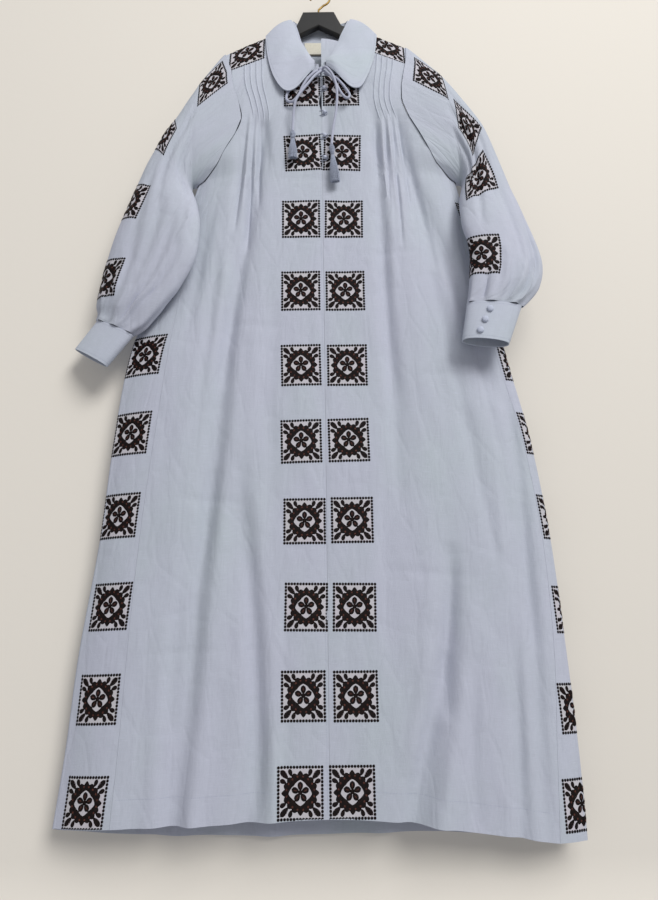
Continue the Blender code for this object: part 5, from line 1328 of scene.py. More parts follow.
class Drawing:
    """Vertices as place across, place up and height over the cloth, with faces by kind of thread."""

    def __init__(self):
        self.verts = []
        self.faces = []

    def strip(self, rails, kind):
        """Joins rails of equal length side by side."""
        start = len(self.verts)
        size = len(rails[0])
        for rail in rails:
            self.verts += rail
        for r in range(len(rails) - 1):
            for i in range(size - 1):
                at = start + r * size + i
                self.faces.append(((at, at + 1, at + size + 1, at + size), kind))

    def lens(self, base, tip, width, kind=0, blunt=0.5, high=STITCH_HIGH, steps=7, lead=1.0):
        """An oval from base to tip, raised along its middle.

        Blunt sets how round its ends are, and lead moves its widest part towards the tip.
        """
        ax, ay = base
        dx, dy = tip[0] - ax, tip[1] - ay
        length = math.hypot(dx, dy)
        nx, ny = -dy / length, dx / length
        rails = [[], [], []]
        for i in range(steps + 1):
            t = i / steps
            half = width / 2 * math.sin(math.pi * t ** lead) ** (1 - blunt) + 0.002
            x, y = ax + dx * t, ay + dy * t
            rails[0].append((x + nx * half, y + ny * half, STITCH_LOW))
            rails[1].append((x, y, high))
            rails[2].append((x - nx * half, y - ny * half, STITCH_LOW))
        self.strip(rails, kind)

    def line(self, points, width, kind, high):
        rails = [[], [], []]
        for i, (x, y) in enumerate(points):
            before, after = points[max(i - 1, 0)], points[min(i + 1, len(points) - 1)]
            dx, dy = after[0] - before[0], after[1] - before[1]
            length = math.hypot(dx, dy) or 1
            nx, ny = -dy / length * width / 2, dx / length * width / 2
            rails[0].append((x + nx, y + ny, STITCH_LOW))
            rails[1].append((x, y, high))
            rails[2].append((x - nx, y - ny, STITCH_LOW))
        self.strip(rails, kind)

    def dot(self, x, y, radius, kind=0, high=STITCH_HIGH, base=STITCH_LOW):
        start = len(self.verts)
        self.verts.append((x, y, high))
        for i in range(7):
            angle = 2 * math.pi * i / 7
            self.verts.append((x + radius * math.cos(angle), y + radius * math.sin(angle), base))
        for i in range(7):
            self.faces.append(((start, start + 1 + i, start + 1 + (i + 1) % 7), kind))


BORDER_DOTS = 15
BUMPS = 16
OPENING = [(90, 0.242), (112, 0.214), (135, 0.194), (162, 0.222), (184, 0.256), (205, 0.213), (228, 0.184),
           (250, 0.207), (270, 0.234), (290, 0.207), (312, 0.184), (335, 0.213), (356, 0.252), (378, 0.222),
           (405, 0.194), (428, 0.214), (450, 0.242)]
PETAL_TURNS = (90, 162, 234, 306, 378)


def draw_motif():
    art = Drawing()
    side = 0.5 - 0.022
    for i in range(BORDER_DOTS):
        at = -side + 2 * side * i / (BORDER_DOTS - 1)
        places = [(at, side), (at, -side)]
        if 0 < i < BORDER_DOTS - 1:
            places += [(side, at), (-side, at)]
        for x, y in places:
            art.dot(x, y, 0.0325)
    ground = [[(-0.46 + 0.92 * i / 16, -0.46 + 0.92 * j / 16, 0.00022) for i in range(17)] for j in range(17)]
    art.strip(ground, 1)
    rails = [[], [], []]
    for i in range(BUMPS * 6 + 1):
        turn = 360 * i / (BUMPS * 6)
        angle = math.radians(turn)
        bump = abs(math.cos(BUMPS / 2 * angle))
        points_main = max(0.0, 1 - abs((turn + 45) % 90 - 45) / 9)
        outer = 0.346 + 0.044 * bump + 0.026 * points_main
        inner = float(np.interp((turn - 90) % 360 + 90, *zip(*OPENING)))
        for rail, radius, high in ((0, outer, STITCH_LOW), (1, (outer + inner) / 2, STITCH_HIGH + 0.0002),
                                   (2, inner, STITCH_LOW)):
            rails[rail].append((radius * math.cos(angle), radius * math.sin(angle), high))
    art.strip(rails, 0)
    for turn in PETAL_TURNS:
        angle = math.radians(turn)
        base = (0.030 * math.cos(angle), 0.012 + 0.030 * math.sin(angle))
        tip = (0.200 * math.cos(angle), 0.012 + 0.200 * math.sin(angle))
        art.lens(base, tip, 0.118, blunt=0.5, high=STITCH_HIGH + 0.0003, lead=1.2)
        vein = (0.078 * math.cos(angle), 0.012 + 0.078 * math.sin(angle))
        vein_tip = (0.160 * math.cos(angle), 0.012 + 0.160 * math.sin(angle))
        art.lens(vein, vein_tip, 0.046, 3, high=STITCH_HIGH + 0.0006, steps=4)
    art.dot(0, 0.012, 0.052, high=STITCH_HIGH + 0.0004)
    for i in range(BUMPS):
        angle = 2 * math.pi * (i + 0.5) / BUMPS
        radius = 0.306
        art.dot(radius * math.cos(angle), radius * math.sin(angle), 0.0240, 3,
                STITCH_HIGH + 0.0004, STITCH_HIGH + 0.0001)
    for sx in (-1, 1):
        for sy in (-1, 1):
            art.lens((0.262 * sx, 0.258 * sy), (0.436 * sx, 0.424 * sy), 0.112, lead=1.35)
            art.lens((0.188 * sx, 0.306 * sy), (0.244 * sx, 0.446 * sy), 0.088, lead=1.35)
            art.lens((0.306 * sx, 0.188 * sy), (0.446 * sx, 0.244 * sy), 0.088, lead=1.35)
            curl = [(0.275, 0.330), (0.305, 0.345), (0.322, 0.372), (0.315, 0.400)]
            art.line([(x * sx, y * sy) for x, y in curl], 0.012, 2, 0.0004)
            art.line([(y * sx, x * sy) for x, y in curl], 0.012, 2, 0.0004)
    return art


motif = draw_motif()


def thread_look(name, colour, other, pitch=0.0006, sheen=0.2, shine=0.5):
    """Stitched or twisted thread: fine ridges with a soft sheen."""
    look = Look(name, linear(*colour), 0.55)
    look.tint(look.noise(420.0, 420.0, 420.0), linear(*other), 0.42, 0.75)
    ridges = (look.along("X", 2 * math.pi / pitch) + look.along("Z", 2 * math.pi / pitch)).sine()
    look.bump(ridges, 0.00008, 0.7)
    look.rough(look.noise(600.0, 600.0, 600.0), 0.45, 0.72)
    look.shader.inputs["Sheen Weight"].default_value = sheen
    look.shader.inputs["Specular IOR Level"].default_value = shine
    return look.material


linen_ground = linen_look("linen_under_embroidery", (190, 186, 194), 0.4)
embroidery_thread = thread_look("embroidery_thread", (9, 5, 6), (30, 15, 13), sheen=0.0, shine=0.12)
embroidery_light = thread_look("embroidery_light_thread", (150, 132, 140), (178, 168, 180))
embroidery_gap = thread_look("embroidery_gap", (66, 36, 31), (98, 58, 48), sheen=0.0, shine=0.15)


class Caster:
    """Finds the point of a cloth straight behind a place of the front view."""

    def __init__(self, grids, x, z, lean=0.0):
        self.grids = grids
        self.x, self.z = x, z
        self.lean = math.radians(lean)

    def __call__(self, right, up):
        x = self.x + right * math.cos(self.lean) - up * math.sin(self.lean)
        z = self.z + right * math.sin(self.lean) + up * math.cos(self.lean)
        hit, normal, _, _ = self.grids.ray_cast(Vector((x, -0.3, z)), Vector((0, 1, 0)))
        if hit is None:
            return None
        return np.array(hit), np.array(normal if normal.y < 0 else -normal)


def tree_of(*names):
    verts, faces = [], []
    for name in names:
        grid = cloths[name]
        count, wide = grid.points.shape[:2]
        start = len(verts)
        verts += [tuple(point) for point in grid.points.reshape(-1, 3)]
        for j in range(count - 1):
            for i in range(wide if grid.closed else wide - 1):
                at, after = start + j * wide + i, start + j * wide + (i + 1) % wide
                faces.append((at, after, after + wide, at + wide))
    return BVHTree.FromPolygons(verts, faces)


def embroider(name, placings):
    """Sets the medallion on the cloth at each placing, with its heights along the cloth's normal."""
    verts, faces, kinds, uvs = [], [], [], []
    for number, finder in enumerate(placings):
        start = len(verts)
        missing = set()
        for i, (x, y, high) in enumerate(motif.verts):
            found = finder(x * MOTIF_WIDTH, y * MOTIF_HEIGHT)
            if found is None:
                missing.add(i)
                verts.append((0.0, 0.0, -1.0))
            else:
                verts.append(tuple(found[0] + found[1] * high))
            uvs.append((x * MOTIF_WIDTH + number, y * MOTIF_HEIGHT))
        for corners, kind in motif.faces:
            if not missing.intersection(corners):
                faces.append([start + corner for corner in corners])
                kinds.append(kind)
    mesh = bpy.data.meshes.new(name)
    mesh.from_pydata(verts, [], faces)
    for look in (embroidery_thread, linen_ground, embroidery_light, embroidery_gap):
        mesh.materials.append(look)
    mesh.polygons.foreach_set("material_index", kinds)
    layer = mesh.uv_layers.new(name="cloth")
    places = np.array(uvs)[[corner for face in faces for corner in face]]
    layer.data.foreach_set("uv", places.ravel())
    tidy = bmesh.new()
    tidy.from_mesh(mesh)
    bmesh.ops.delete(tidy, geom=[vert for vert in tidy.verts if not vert.link_faces], context="VERTS")
    for face in tidy.faces:
        face.smooth = True
    tidy.to_mesh(mesh)
    tidy.free()
    piece = bpy.data.objects.new(name, mesh)
    bpy.context.collection.objects.link(piece)
    on_frame(piece, "thread")
    return piece


# Centre rows, as place across and height of each motif's middle, with its lean in degrees
Spot = namedtuple("Spot", "x z lean")
CENTRE_LEFT = [
    Spot(-0.037, -0.2630, 0), Spot(-0.036, -0.402, 3), Spot(-0.040, -0.540, 0),
    Spot(-0.041, -0.682, 0), Spot(-0.041, -0.821, 1), Spot(-0.041, -0.957, 1),
    Spot(-0.036, -1.092, 0), Spot(-0.034, -1.229, -1), Spot(-0.039, -1.363, 0),
    Spot(-0.044, -1.500, 0),
]
CENTRE_RIGHT = [
    Spot(0.037, -0.2630, 0), Spot(0.037, -0.403, -2), Spot(0.038, -0.541, -1),
    Spot(0.038, -0.683, 0), Spot(0.039, -0.822, 0), Spot(0.039, -0.956, 1),
    Spot(0.042, -1.091, 0), Spot(0.043, -1.230, -1), Spot(0.042, -1.364, 0),
    Spot(0.034, -1.500, 0),
]
fronts = tree_of("front_left", "front_right")
embroider("embroidery_front_left", [Caster(fronts, *spot) for spot in CENTRE_LEFT])
embroider("embroidery_front_right", [Caster(fronts, *spot) for spot in CENTRE_RIGHT])


class Walker:
    """Finds the point of a cloth at given distances to the right and up from one of its grid points."""

    def __init__(self, grid, row, column, flip=1):
        points, normals = grid.points, grid.normals
        if grid.closed:
            middle = points.shape[1] // 2
            points = np.roll(points, middle - column, axis=1)
            normals = np.roll(normals, middle - column, axis=1)
            column = middle
        self.points = points
        self.normals = normals
        self.column = column
        self.flip = flip
        down = np.linalg.norm(np.diff(points[:, column], axis=0), axis=1)
        self.down = np.concatenate([[0.0], np.cumsum(down)])
        self.level = self.down[row]

    def __call__(self, right, up):
        drop = self.level - up
        if drop < 0 or drop > self.down[-1]:
            return None
        at = np.interp(drop, self.down, np.arange(len(self.down)))
        j = min(int(at), len(self.down) - 2)
        share = at - j
        row = self.points[j] * (1 - share) + self.points[j + 1] * share
        run = np.concatenate([[0.0], np.cumsum(np.linalg.norm(np.diff(row, axis=0), axis=1))])
        want = run[self.column] + right * self.flip
        if want < 0 or want > run[-1]:
            return None
        spot = np.interp(want, run, np.arange(len(run)))
        i = min(int(spot), len(run) - 2)
        part = spot - i
        normal = self.normals[j, i] * (1 - share) + self.normals[j + 1, i] * share
        return row[i] * (1 - part) + row[i + 1] * part, normal


def strip_placings(name, side, heights):
    """Motifs of a side strip, their middles at one distance from its front seam."""
    grid = cloths[name]
    made = []
    for z in heights:
        row = int(np.argmin(np.abs(grid.points[:, 0, 2] - z)))
        run = np.concatenate([[0.0], np.cumsum(np.linalg.norm(np.diff(grid.points[row], axis=0), axis=1))])
        column = int(np.argmin(np.abs(run - STRIP_MARGIN)))
        made.append(Walker(grid, row, column, flip=side))
    return made


STRIP_MARGIN = 0.0405
embroider("embroidery_side_left",
          strip_placings("side_left", -1, [-0.655, -0.793, -0.935, -1.078, -1.223, -1.367, -1.509]))
embroider("embroidery_side_right",
          strip_placings("side_right", 1, [-0.535, -0.672, -0.808, -0.939, -1.089, -1.237, -1.389, -1.527]))


def nearest_spot(name, place_on):
    """Row and column of the grid point nearest to a place."""
    away = np.linalg.norm(cloths[name].points - np.array(place_on), axis=2)
    return np.unravel_index(np.argmin(away), away.shape)


def sleeve_placings(name, side, spots):
    """Motifs of a sleeve, each by where its middle is seen from the camera, on the plane of the front."""
    tree = tree_of(name)
    start = Vector(CAMERA_PLACE)
    made = []
    for x, z in spots:
        aim = Vector((x, FRONT_PLANE, z)) - start
        hit = tree.ray_cast(start, aim.normalized())[0]
        row, column = nearest_spot(name, hit if hit is not None else (x, FRONT_PLANE, z))
        made.append(Walker(cloths[name], row, column, flip=-side))
    return made


FRONT_PLANE = -0.030
SLEEVE_SPOTS_LEFT = [(-0.211, -0.242), (-0.300, -0.352), (-0.361, -0.495), (-0.395, -0.646)]
SLEEVE_SPOTS_RIGHT = [(0.206, -0.239), (0.276, -0.345), (0.290, -0.461), (0.284, -0.616)]
embroider("embroidery_sleeve_left", sleeve_placings("sleeve_left", -1, SLEEVE_SPOTS_LEFT))
embroider("embroidery_sleeve_right", sleeve_placings("sleeve_right", 1, SLEEVE_SPOTS_RIGHT))


class YokeFinder:
    """Places on the yoke: up runs round the shoulder towards the back, right runs across."""

    def __init__(self, x, around):
        self.x, self.around = x, around

    def __call__(self, right, up):
        x = self.x + right
        around = self.around + up
        found = YOKE_TREE.find_nearest(over_shoulder(x, around))
        if found[0] is None or found[3] > 0.004:
            return None
        normal = found[1] if found[1].z > 0 or abs(found[1].y) > 0.5 else -found[1]
        outward = Vector((0, -1 if around < 0 else 1, 0.5))
        return np.array(found[0]), np.array(normal if normal.dot(outward) > 0 else -normal)


YOKE_TREE = tree_of("yoke")
embroider("embroidery_yoke", [YokeFinder(-0.146, -0.030), YokeFinder(0.130, -0.024)])


# Stitching: rows of sewing thread in the cloth's own colour at the edges, the hem and the tucks.

sewing_thread = thread_look("sewing_thread", (158, 165, 184), (180, 186, 204), 0.0004)


def stitch_row(name, finders, pitch=0.0030, length=0.0021, width=0.00055, high=0.00035):
    """A row of small raised stitches along lists of points that lie on cloth, with their normals."""
    verts, faces = [], []
    for line in finders:
        line = [found for found in line if found is not None]
        if len(line) < 2:
            continue
        places = np.array([found[0] for found in line])
        normals = np.array([found[1] for found in line])
        run = np.concatenate([[0.0], np.cumsum(np.linalg.norm(np.diff(places, axis=0), axis=1))])
        at = pitch / 2
        while at < run[-1]:
            spot = np.array([np.interp(at, run, places[:, axis]) for axis in range(3)])
            normal = np.array([np.interp(at, run, normals[:, axis]) for axis in range(3)])
            ahead = np.array([np.interp(min(at + 0.001, run[-1]), run, places[:, axis]) for axis in range(3)])
            behind = np.array([np.interp(max(at - 0.001, 0), run, places[:, axis]) for axis in range(3)])
            course = (ahead - behind) / max(np.linalg.norm(ahead - behind), 1e-9)
            across = np.cross(normal, course) * width / 2
            start = len(verts)
            for share, lift in ((-0.5, 0.0), (-0.3, 0.8), (0.3, 0.8), (0.5, 0.0)):
                middle = spot + course * length * share
                verts += [tuple(middle - across + normal * 0.00005),
                          tuple(middle + normal * high * max(lift, 0.15)),
                          tuple(middle + across + normal * 0.00005)]
            for k in range(3):
                for s in range(2):
                    corner = start + 3 * k + s
                    faces.append((corner, corner + 3, corner + 4, corner + 1))
            at += pitch
    mesh = bpy.data.meshes.new(name)
    mesh.from_pydata(verts, [], faces)
    mesh.materials.append(sewing_thread)
    mesh.shade_smooth()
    piece = bpy.data.objects.new(name, mesh)
    bpy.context.collection.objects.link(piece)
    on_frame(piece, "thread")
    return piece


def surface_line(surface, places, facing):
    """Points of a surface at a list of u and v, with their normals turned to face the way given."""
    made = []
    for u, v in places:
        across = surface(u + STEP, v) - surface(u - STEP, v)
        down = surface(u, v + STEP) - surface(u, v - STEP)
        normal = across.cross(down).normalized()
        if normal.dot(facing(u)) < 0:
            normal.negate()
        made.append((np.array(surface(u, v)), np.array(normal)))
    return made


def outward_of(surface):
    middle = sum((surface(k / 8, 0.5) for k in range(8)), Vector()) / 8
    return lambda u: surface(u, 0.5) - middle


collar_out = outward_of(collar_surface)
stitch_row("stitches_collar", [surface_line(collar_surface, [(k / 160, 0.925) for k in range(161)],
                                            lambda u: collar_out(u) + Vector((0, 0, 0.05)))])
for word, side in (("left", -1), ("right", 1)):
    surface = cuff_surface(side)
    facing = outward_of(surface)
    stitch_row("stitches_cuff_" + word, [surface_line(surface, [(k / 90, v) for k in range(91)], facing)
                                         for v in (0.06, 0.93)])


def cast_line(tree, points):
    made = []
    for x, z in points:
        hit, normal, _, _ = tree.ray_cast(Vector((x, -0.3, z)), Vector((0, 1, 0)))
        made.append(None if hit is None else (np.array(hit), np.array(normal if normal.y < 0 else -normal)))
    return made


HEM_LINE = 0.040  # depth of the hem's facing
hem_lines = []
for start, reach in ((-0.322, 0.320), (0.002, 0.328)):
    across = [start + reach * k / 80 for k in range(81)]
    hem_lines.append(cast_line(fronts, [(x, lookup(HEM, "across", "front", x) + HEM_LINE) for x in across]))
stitch_row("stitches_hem", hem_lines)
placket = [(-0.0035 if k > 12 else -0.0075, -0.33 - 1.2 * k / 200) for k in range(201)]
stitch_row("stitches_front", [cast_line(fronts, placket)])
tuck_lines = []
for name, side in (("front_left", -1), ("front_right", 1)):
    for at in TUCKS:
        surface = fine_front(side)
        column = [(at + side * -0.014, 0.02 + 0.40 * k / 40) for k in range(41)]
        line = [surface(u, v) for u, v in column]
        tuck_lines.append(cast_line(fronts, [(spot.x, spot.z) for spot in line if spot.z > TUCK_RELEASE]))
stitch_row("stitches_tucks", tuck_lines, pitch=0.0024, length=0.0017)


# Neck tie: a cord of cross-cut linen tied in a bow under the collar, with a silk tassel on each end.

TIE_THICKNESS = 0.0050
KNOT_CENTRE = Vector((0.000, -0.0430, -0.2290))
KNOT_RADII = Vector((0.0062, 0.0043, 0.0057))
TIE_LOOP_LEFT = [
    (-0.0068, -0.0441, -0.2321), (-0.0150, -0.0470, -0.2400), (-0.0255, -0.0485, -0.2530),
    (-0.0350, -0.0490, -0.2700), (-0.0430, -0.0475, -0.2880), (-0.0545, -0.0430, -0.2985),
    (-0.0640, -0.0395, -0.2950), (-0.0670, -0.0360, -0.2840), (-0.0630, -0.0350, -0.2700),
    (-0.0510, -0.0347, -0.2560), (-0.0360, -0.0347, -0.2449), (-0.0220, -0.0360, -0.2378),
    (-0.0115, -0.0370, -0.2348), (-0.0047, -0.0381, -0.2315),
]
TIE_LOOP_RIGHT = [
    (0.0064, -0.0441, -0.2327), (0.0180, -0.0460, -0.2460), (0.0270, -0.0465, -0.2620),
    (0.0350, -0.0475, -0.2810), (0.0430, -0.0480, -0.2940), (0.0500, -0.0475, -0.2965),
    (0.0530, -0.0465, -0.2890), (0.0480, -0.0450, -0.2770), (0.0390, -0.0440, -0.2620),
    (0.0290, -0.0420, -0.2480), (0.0190, -0.0395, -0.2390), (0.0115, -0.0372, -0.2345),
    (0.0047, -0.0381, -0.2315),
]
TIE_END_LEFT = [
    (-0.0005, -0.0465, -0.2346), (-0.0120, -0.0520, -0.2500), (-0.0210, -0.0545, -0.2640),
    (-0.0310, -0.0560, -0.2790), (-0.0420, -0.0560, -0.2950), (-0.0490, -0.0545, -0.3090),
    (-0.0525, -0.0490, -0.3270), (-0.0540, -0.0450, -0.3480), (-0.0545, -0.0440, -0.3640),
]
TIE_END_RIGHT = [
    (0.0037, -0.0483, -0.2289), (0.0090, -0.0528, -0.2325), (0.0155, -0.0545, -0.2410),
    (0.0215, -0.0550, -0.2520), (0.0265, -0.0550, -0.2680), (0.0290, -0.0545, -0.2850),
    (0.0290, -0.0520, -0.3020), (0.0265, -0.0480, -0.3280), (0.0210, -0.0450, -0.3600),
    (0.0175, -0.0440, -0.3940),
]
TASSEL_RUN_LEFT = Vector((0.0005, 0.0, -0.058))
TASSEL_RUN_RIGHT = Vector((0.0060, -0.001, -0.080))


def round_goods_look(name, colour):
    """Linen cut on the cross over a button or round a cord."""
    look = Look(name, linear(*colour), 0.80)
    threads = look.along("X", THREADS).sine() * look.along("Z", THREADS).sine()
    look.bump(threads, 0.00006, 0.8)
    look.bump(look.noise(500.0, 500.0, 500.0, detail=3.0), 0.0003, 0.5)
    look.tint(look.noise(900.0, 900.0, 900.0), linear(*[value * 0.88 for value in colour]), 0.45, 0.9)
    look.rough(look.noise(700.0, 700.0, 700.0), 0.72, 0.88)
    look.shader.inputs["Sheen Weight"].default_value = 0.12
    return look.material


tie_linen = round_goods_look("tie_cord", (172, 176, 194))


def smooth_path(points, steps):
    places = [Vector(point) for point in points]
    path = []
    for i in range(len(places) - 1):
        before = places[max(i - 1, 0)]
        start, end = places[i], places[i + 1]
        after = places[min(i + 2, len(places) - 1)]
        for k in range(steps):
            t = k / steps
            path.append(0.5 * (2 * start + (end - before) * t
                               + (2 * before - 5 * start + 4 * end - after) * t * t
                               + (3 * start - before - 3 * end + after) * t * t * t))
    path.append(places[-1])
    return path


def tube_parts(path, radius_at, sides, twist=0.0, plies=0, start_index=0):
    """Vertices and faces of a tube along a path; with plies, its surface is twisted strands."""
    verts, faces = [], []
    up = Vector((0, -1, 0.2)).normalized()
    run = 0.0
    for n, spot in enumerate(path):
        before, after = path[max(n - 1, 0)], path[min(n + 1, len(path) - 1)]
        course = (after - before).normalized()
        up = (up - course * up.dot(course)).normalized()
        side = course.cross(up)
        run += (spot - path[n - 1]).length if n else 0.0
        for k in range(sides):
            angle = 2 * math.pi * k / sides
            radius = radius_at(n / (len(path) - 1))
            if plies:
                radius *= 0.90 + 0.10 * abs(math.sin(plies * (angle + twist * run) / 2))
            verts.append(spot + (up * math.cos(angle) + side * math.sin(angle)) * radius)
    count = len(path)
    for n in range(count - 1):
        for k in range(sides):
            m = (k + 1) % sides
            faces.append([start_index + n * sides + k, start_index + n * sides + m,
                          start_index + (n + 1) * sides + m, start_index + (n + 1) * sides + k])
    faces.append([start_index + k for k in reversed(range(sides))])
    faces.append([start_index + (count - 1) * sides + k for k in range(sides)])
    return verts, faces


def mesh_piece(name, parts, look, slot, *nodes):
    verts, faces = [], []
    for more_verts, more_faces in parts:
        start = len(verts)
        verts += more_verts
        faces += [[start + corner for corner in face] for face in more_faces]
    mesh = bpy.data.meshes.new(name)
    mesh.from_pydata(verts, [], faces)
    mesh.validate()
    tidy = bmesh.new()
    tidy.from_mesh(mesh)
    bmesh.ops.recalc_face_normals(tidy, faces=tidy.faces)
    tidy.to_mesh(mesh)
    tidy.free()
    mesh.materials.append(look)
    mesh.shade_smooth()
    mesh.set_sharp_from_angle(angle=math.radians(50))
    piece = bpy.data.objects.new(name, mesh)
    bpy.context.collection.objects.link(piece)
    on_frame(piece, slot, *nodes)
    return piece


def path_length(path):
    return sum((after - before).length for before, after in zip(path, path[1:]))


def tie_piece(name, route):
    path = smooth_path(route, 8)
    radius = TIE_THICKNESS / 2
    parts = [tube_parts(path, lambda t: radius * 0.98, 14)]
    return mesh_piece(name + "_cord", parts, tie_linen, "tie_cord", name), path


for name, route in (("tie_loop_left", TIE_LOOP_LEFT), ("tie_loop_right", TIE_LOOP_RIGHT)):
    piece, path = tie_piece(name, route)
    path_length(path)

silk = thread_look("tassel_silk", (164, 172, 190), (122, 130, 152), 0.0005)


def tassel_piece(name, top, foot, width, seed):
    """A tassel: knotted head with strands over it, a wrapped neck and a loose skirt of strands."""
    down = (foot - top).normalized()
    length = (foot - top).length
    across = down.cross(Vector((0, 1, 0))).normalized()
    forward = across.cross(down)
    head = 0.0050
    highs = [0.00, 0.03, 0.07, 0.12, 0.17, 0.22, 0.27]
    wides = [0.30, 0.72, 0.96, 1.0, 0.86, 0.60, 0.58]
    parts = []
    core = [top + down * length * high for high in highs]
    parts.append(tube_parts(core, lambda t: head * 0.92 * float(np.interp(t * 6, range(7), wides)), 16))
    for k in range(26):
        angle = 2 * math.pi * k / 26
        out = (across * math.cos(angle) + forward * math.sin(angle)) * head * 0.95
        way = [top + down * length * high + out * wide for high, wide in zip(highs, wides)]
        parts.append(tube_parts(way, lambda t: 0.00042, 4))
    for k in range(5):
        level = top + down * length * (0.205 + 0.012 * k)
        wrap = [level + (across * math.cos(a) + forward * math.sin(a)) * head * 0.68
                for a in [2 * math.pi * i / 20 for i in range(21)]]
        parts.append(tube_parts(wrap, lambda t: 0.00042, 5))
    strands = 120
    for k in range(strands):
        angle = 2.399963 * k
        ring = math.sqrt((k + 0.5) / strands)
        stray = noise.noise_vector(Vector((k * 1.7, seed, 2.0)))
        end = 1.0 - 0.045 * abs(stray.x) - 0.02 * ((k * 7) % 5) / 5
        way = []
        for t in (0.235, 0.30, 0.42, 0.58, 0.76, end):
            open_out = head * 0.62 + (width * 0.5 - head * 0.62) * smooth((t - 0.24) / 0.55)
            radius = ring * open_out
            sway = stray * 0.0011 * (t - 0.2)
            way.append(top + down * length * t + across * (math.cos(angle) * radius)
                       + forward * (math.sin(angle) * radius * 0.55) + sway)
        parts.append(tube_parts(way, lambda t: 0.00052 - 0.00010 * t, 4))
    return mesh_piece(name + "_silk", parts, silk, "tassel", name)


tassels = {
    "tie_end_left": ("tassel_left", TASSEL_RUN_LEFT, 0.0165, 1.0),
    "tie_end_right": ("tassel_right", TASSEL_RUN_RIGHT, 0.0175, 7.0),
}
for name, route in (("tie_end_left", TIE_END_LEFT), ("tie_end_right", TIE_END_RIGHT)):
    piece, path = tie_piece(name, route)
    word, run, width, seed = tassels[name]
    top = Vector(route[-1]) - Vector((0, 0, SEAM_GAP))
    tassel = tassel_piece(word, top, top + run, width, seed)
    path_length(path)


def round_piece(name, look, slot, *nodes, segments=32, rings=20, shape_at=None):
    """A closed round form; shape_at gives a point for an angle round and a share from pole to pole."""
    verts = [shape_at(0.0, 0.0)]
    for j in range(1, rings):
        verts += [shape_at(2 * math.pi * i / segments, j / rings) for i in range(segments)]
    verts.append(shape_at(0.0, 1.0))
    faces = [[0, 1 + (i + 1) % segments, 1 + i] for i in range(segments)]
    for j in range(rings - 2):
        for i in range(segments):
            k = (i + 1) % segments
            at = 1 + j * segments
            faces.append([at + i, at + k, at + segments + k, at + segments + i])
    last = len(verts) - 1
    at = last - segments
    faces += [[last, at + i, at + (i + 1) % segments] for i in range(segments)]
    return mesh_piece(name, [(verts, faces)], look, slot, *nodes)


def knot_shape(angle, share):
    """The bow's knot: a cord wound once round, with two soft grooves across it."""
    polar = math.pi * share
    x, y, z = math.sin(polar) * math.cos(angle), math.sin(polar) * math.sin(angle), math.cos(polar)
    cross = 0.25 * z
    groove = 1 - 0.10 * math.exp(-((x - 0.42 + cross) / 0.12) ** 2)
    groove -= 0.10 * math.exp(-((x + 0.40 + cross) / 0.12) ** 2)
    return KNOT_CENTRE + Vector((x * KNOT_RADII.x, y * KNOT_RADII.y, z * KNOT_RADII.z)) * groove


round_piece("tie_knot_wound", tie_linen, "tie_cord", "tie_knot", shape_at=knot_shape)


# Buttons: small balls covered in linen at the centre front, each in a loop of thread, and covered
# domes on the cuffs.

BALL_RADIUS = 0.0038
BALL_X = 0.0050
BALL_HEIGHTS = (-0.262, -0.317, -0.368, -0.415)
LOOP_THICKNESS = 0.0014
LOOP_INSET = 0.0035  # middle of the thread loop, left of the ball's middle
LOOP_REACH = 0.0090
LOOP_RISE = 0.0058
LOOP_OPENING = 110  # degrees left open towards the slit

covered = round_goods_look("covered_button", (184, 191, 209))

for number, height in enumerate(BALL_HEIGHTS, start=1):
    node = f"front_button_{number}"
    low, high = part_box(node)
    middle = (low + high) / 2

    def ball(angle, share, middle=middle, number=number):
        polar = math.pi * share
        ring = math.sin(polar)
        spot = Vector((ring * math.cos(angle), -math.cos(polar), ring * math.sin(angle)))
        pleat = 1 + 0.035 * math.cos(9 * angle + number) * smooth((share - 0.55) / 0.3)
        return middle + spot * BALL_RADIUS * 0.985 * pleat

    round_piece(node + "_covered", covered, "covered_button", node, shape_at=ball)
    bow = []
    for angle in spread(-180 + LOOP_OPENING / 2, 180 - LOOP_OPENING / 2, 18):
        x = BALL_X - LOOP_INSET + LOOP_REACH * math.cos(math.radians(angle))
        z = height + LOOP_RISE * math.sin(math.radians(angle))
        bow.append(Vector((x, front_y(x, z) - LOOP_THICKNESS / 2 - SEAM_GAP, z)))
    parts = [tube_parts(bow, lambda t: LOOP_THICKNESS / 2, 10, 2600.0, 3)]
    mesh_piece(f"front_loop_{number}_thread", parts, sewing_thread, "thread", f"front_loop_{number}")

CUFF_BUTTON_RADIUS = 0.0056
CUFF_BUTTON_HEIGHT = 0.0040
CUFF_BUTTONS = 3
CUFF_BUTTON_FIRST = 0.22  # share of the cuff's height
CUFF_BUTTON_STEP = 0.29
CUFF_BUTTON_TURN_RIGHT = 0.27  # share of the way round from the outer edge
CUFF_BUTTON_TURN_LEFT = 0.76
CUFF_BUTTON_DRIFT = 0.055  # the right cuff's row leans this much round on its way down
CUFF_BUTTON_CLEARANCE = 0.0009


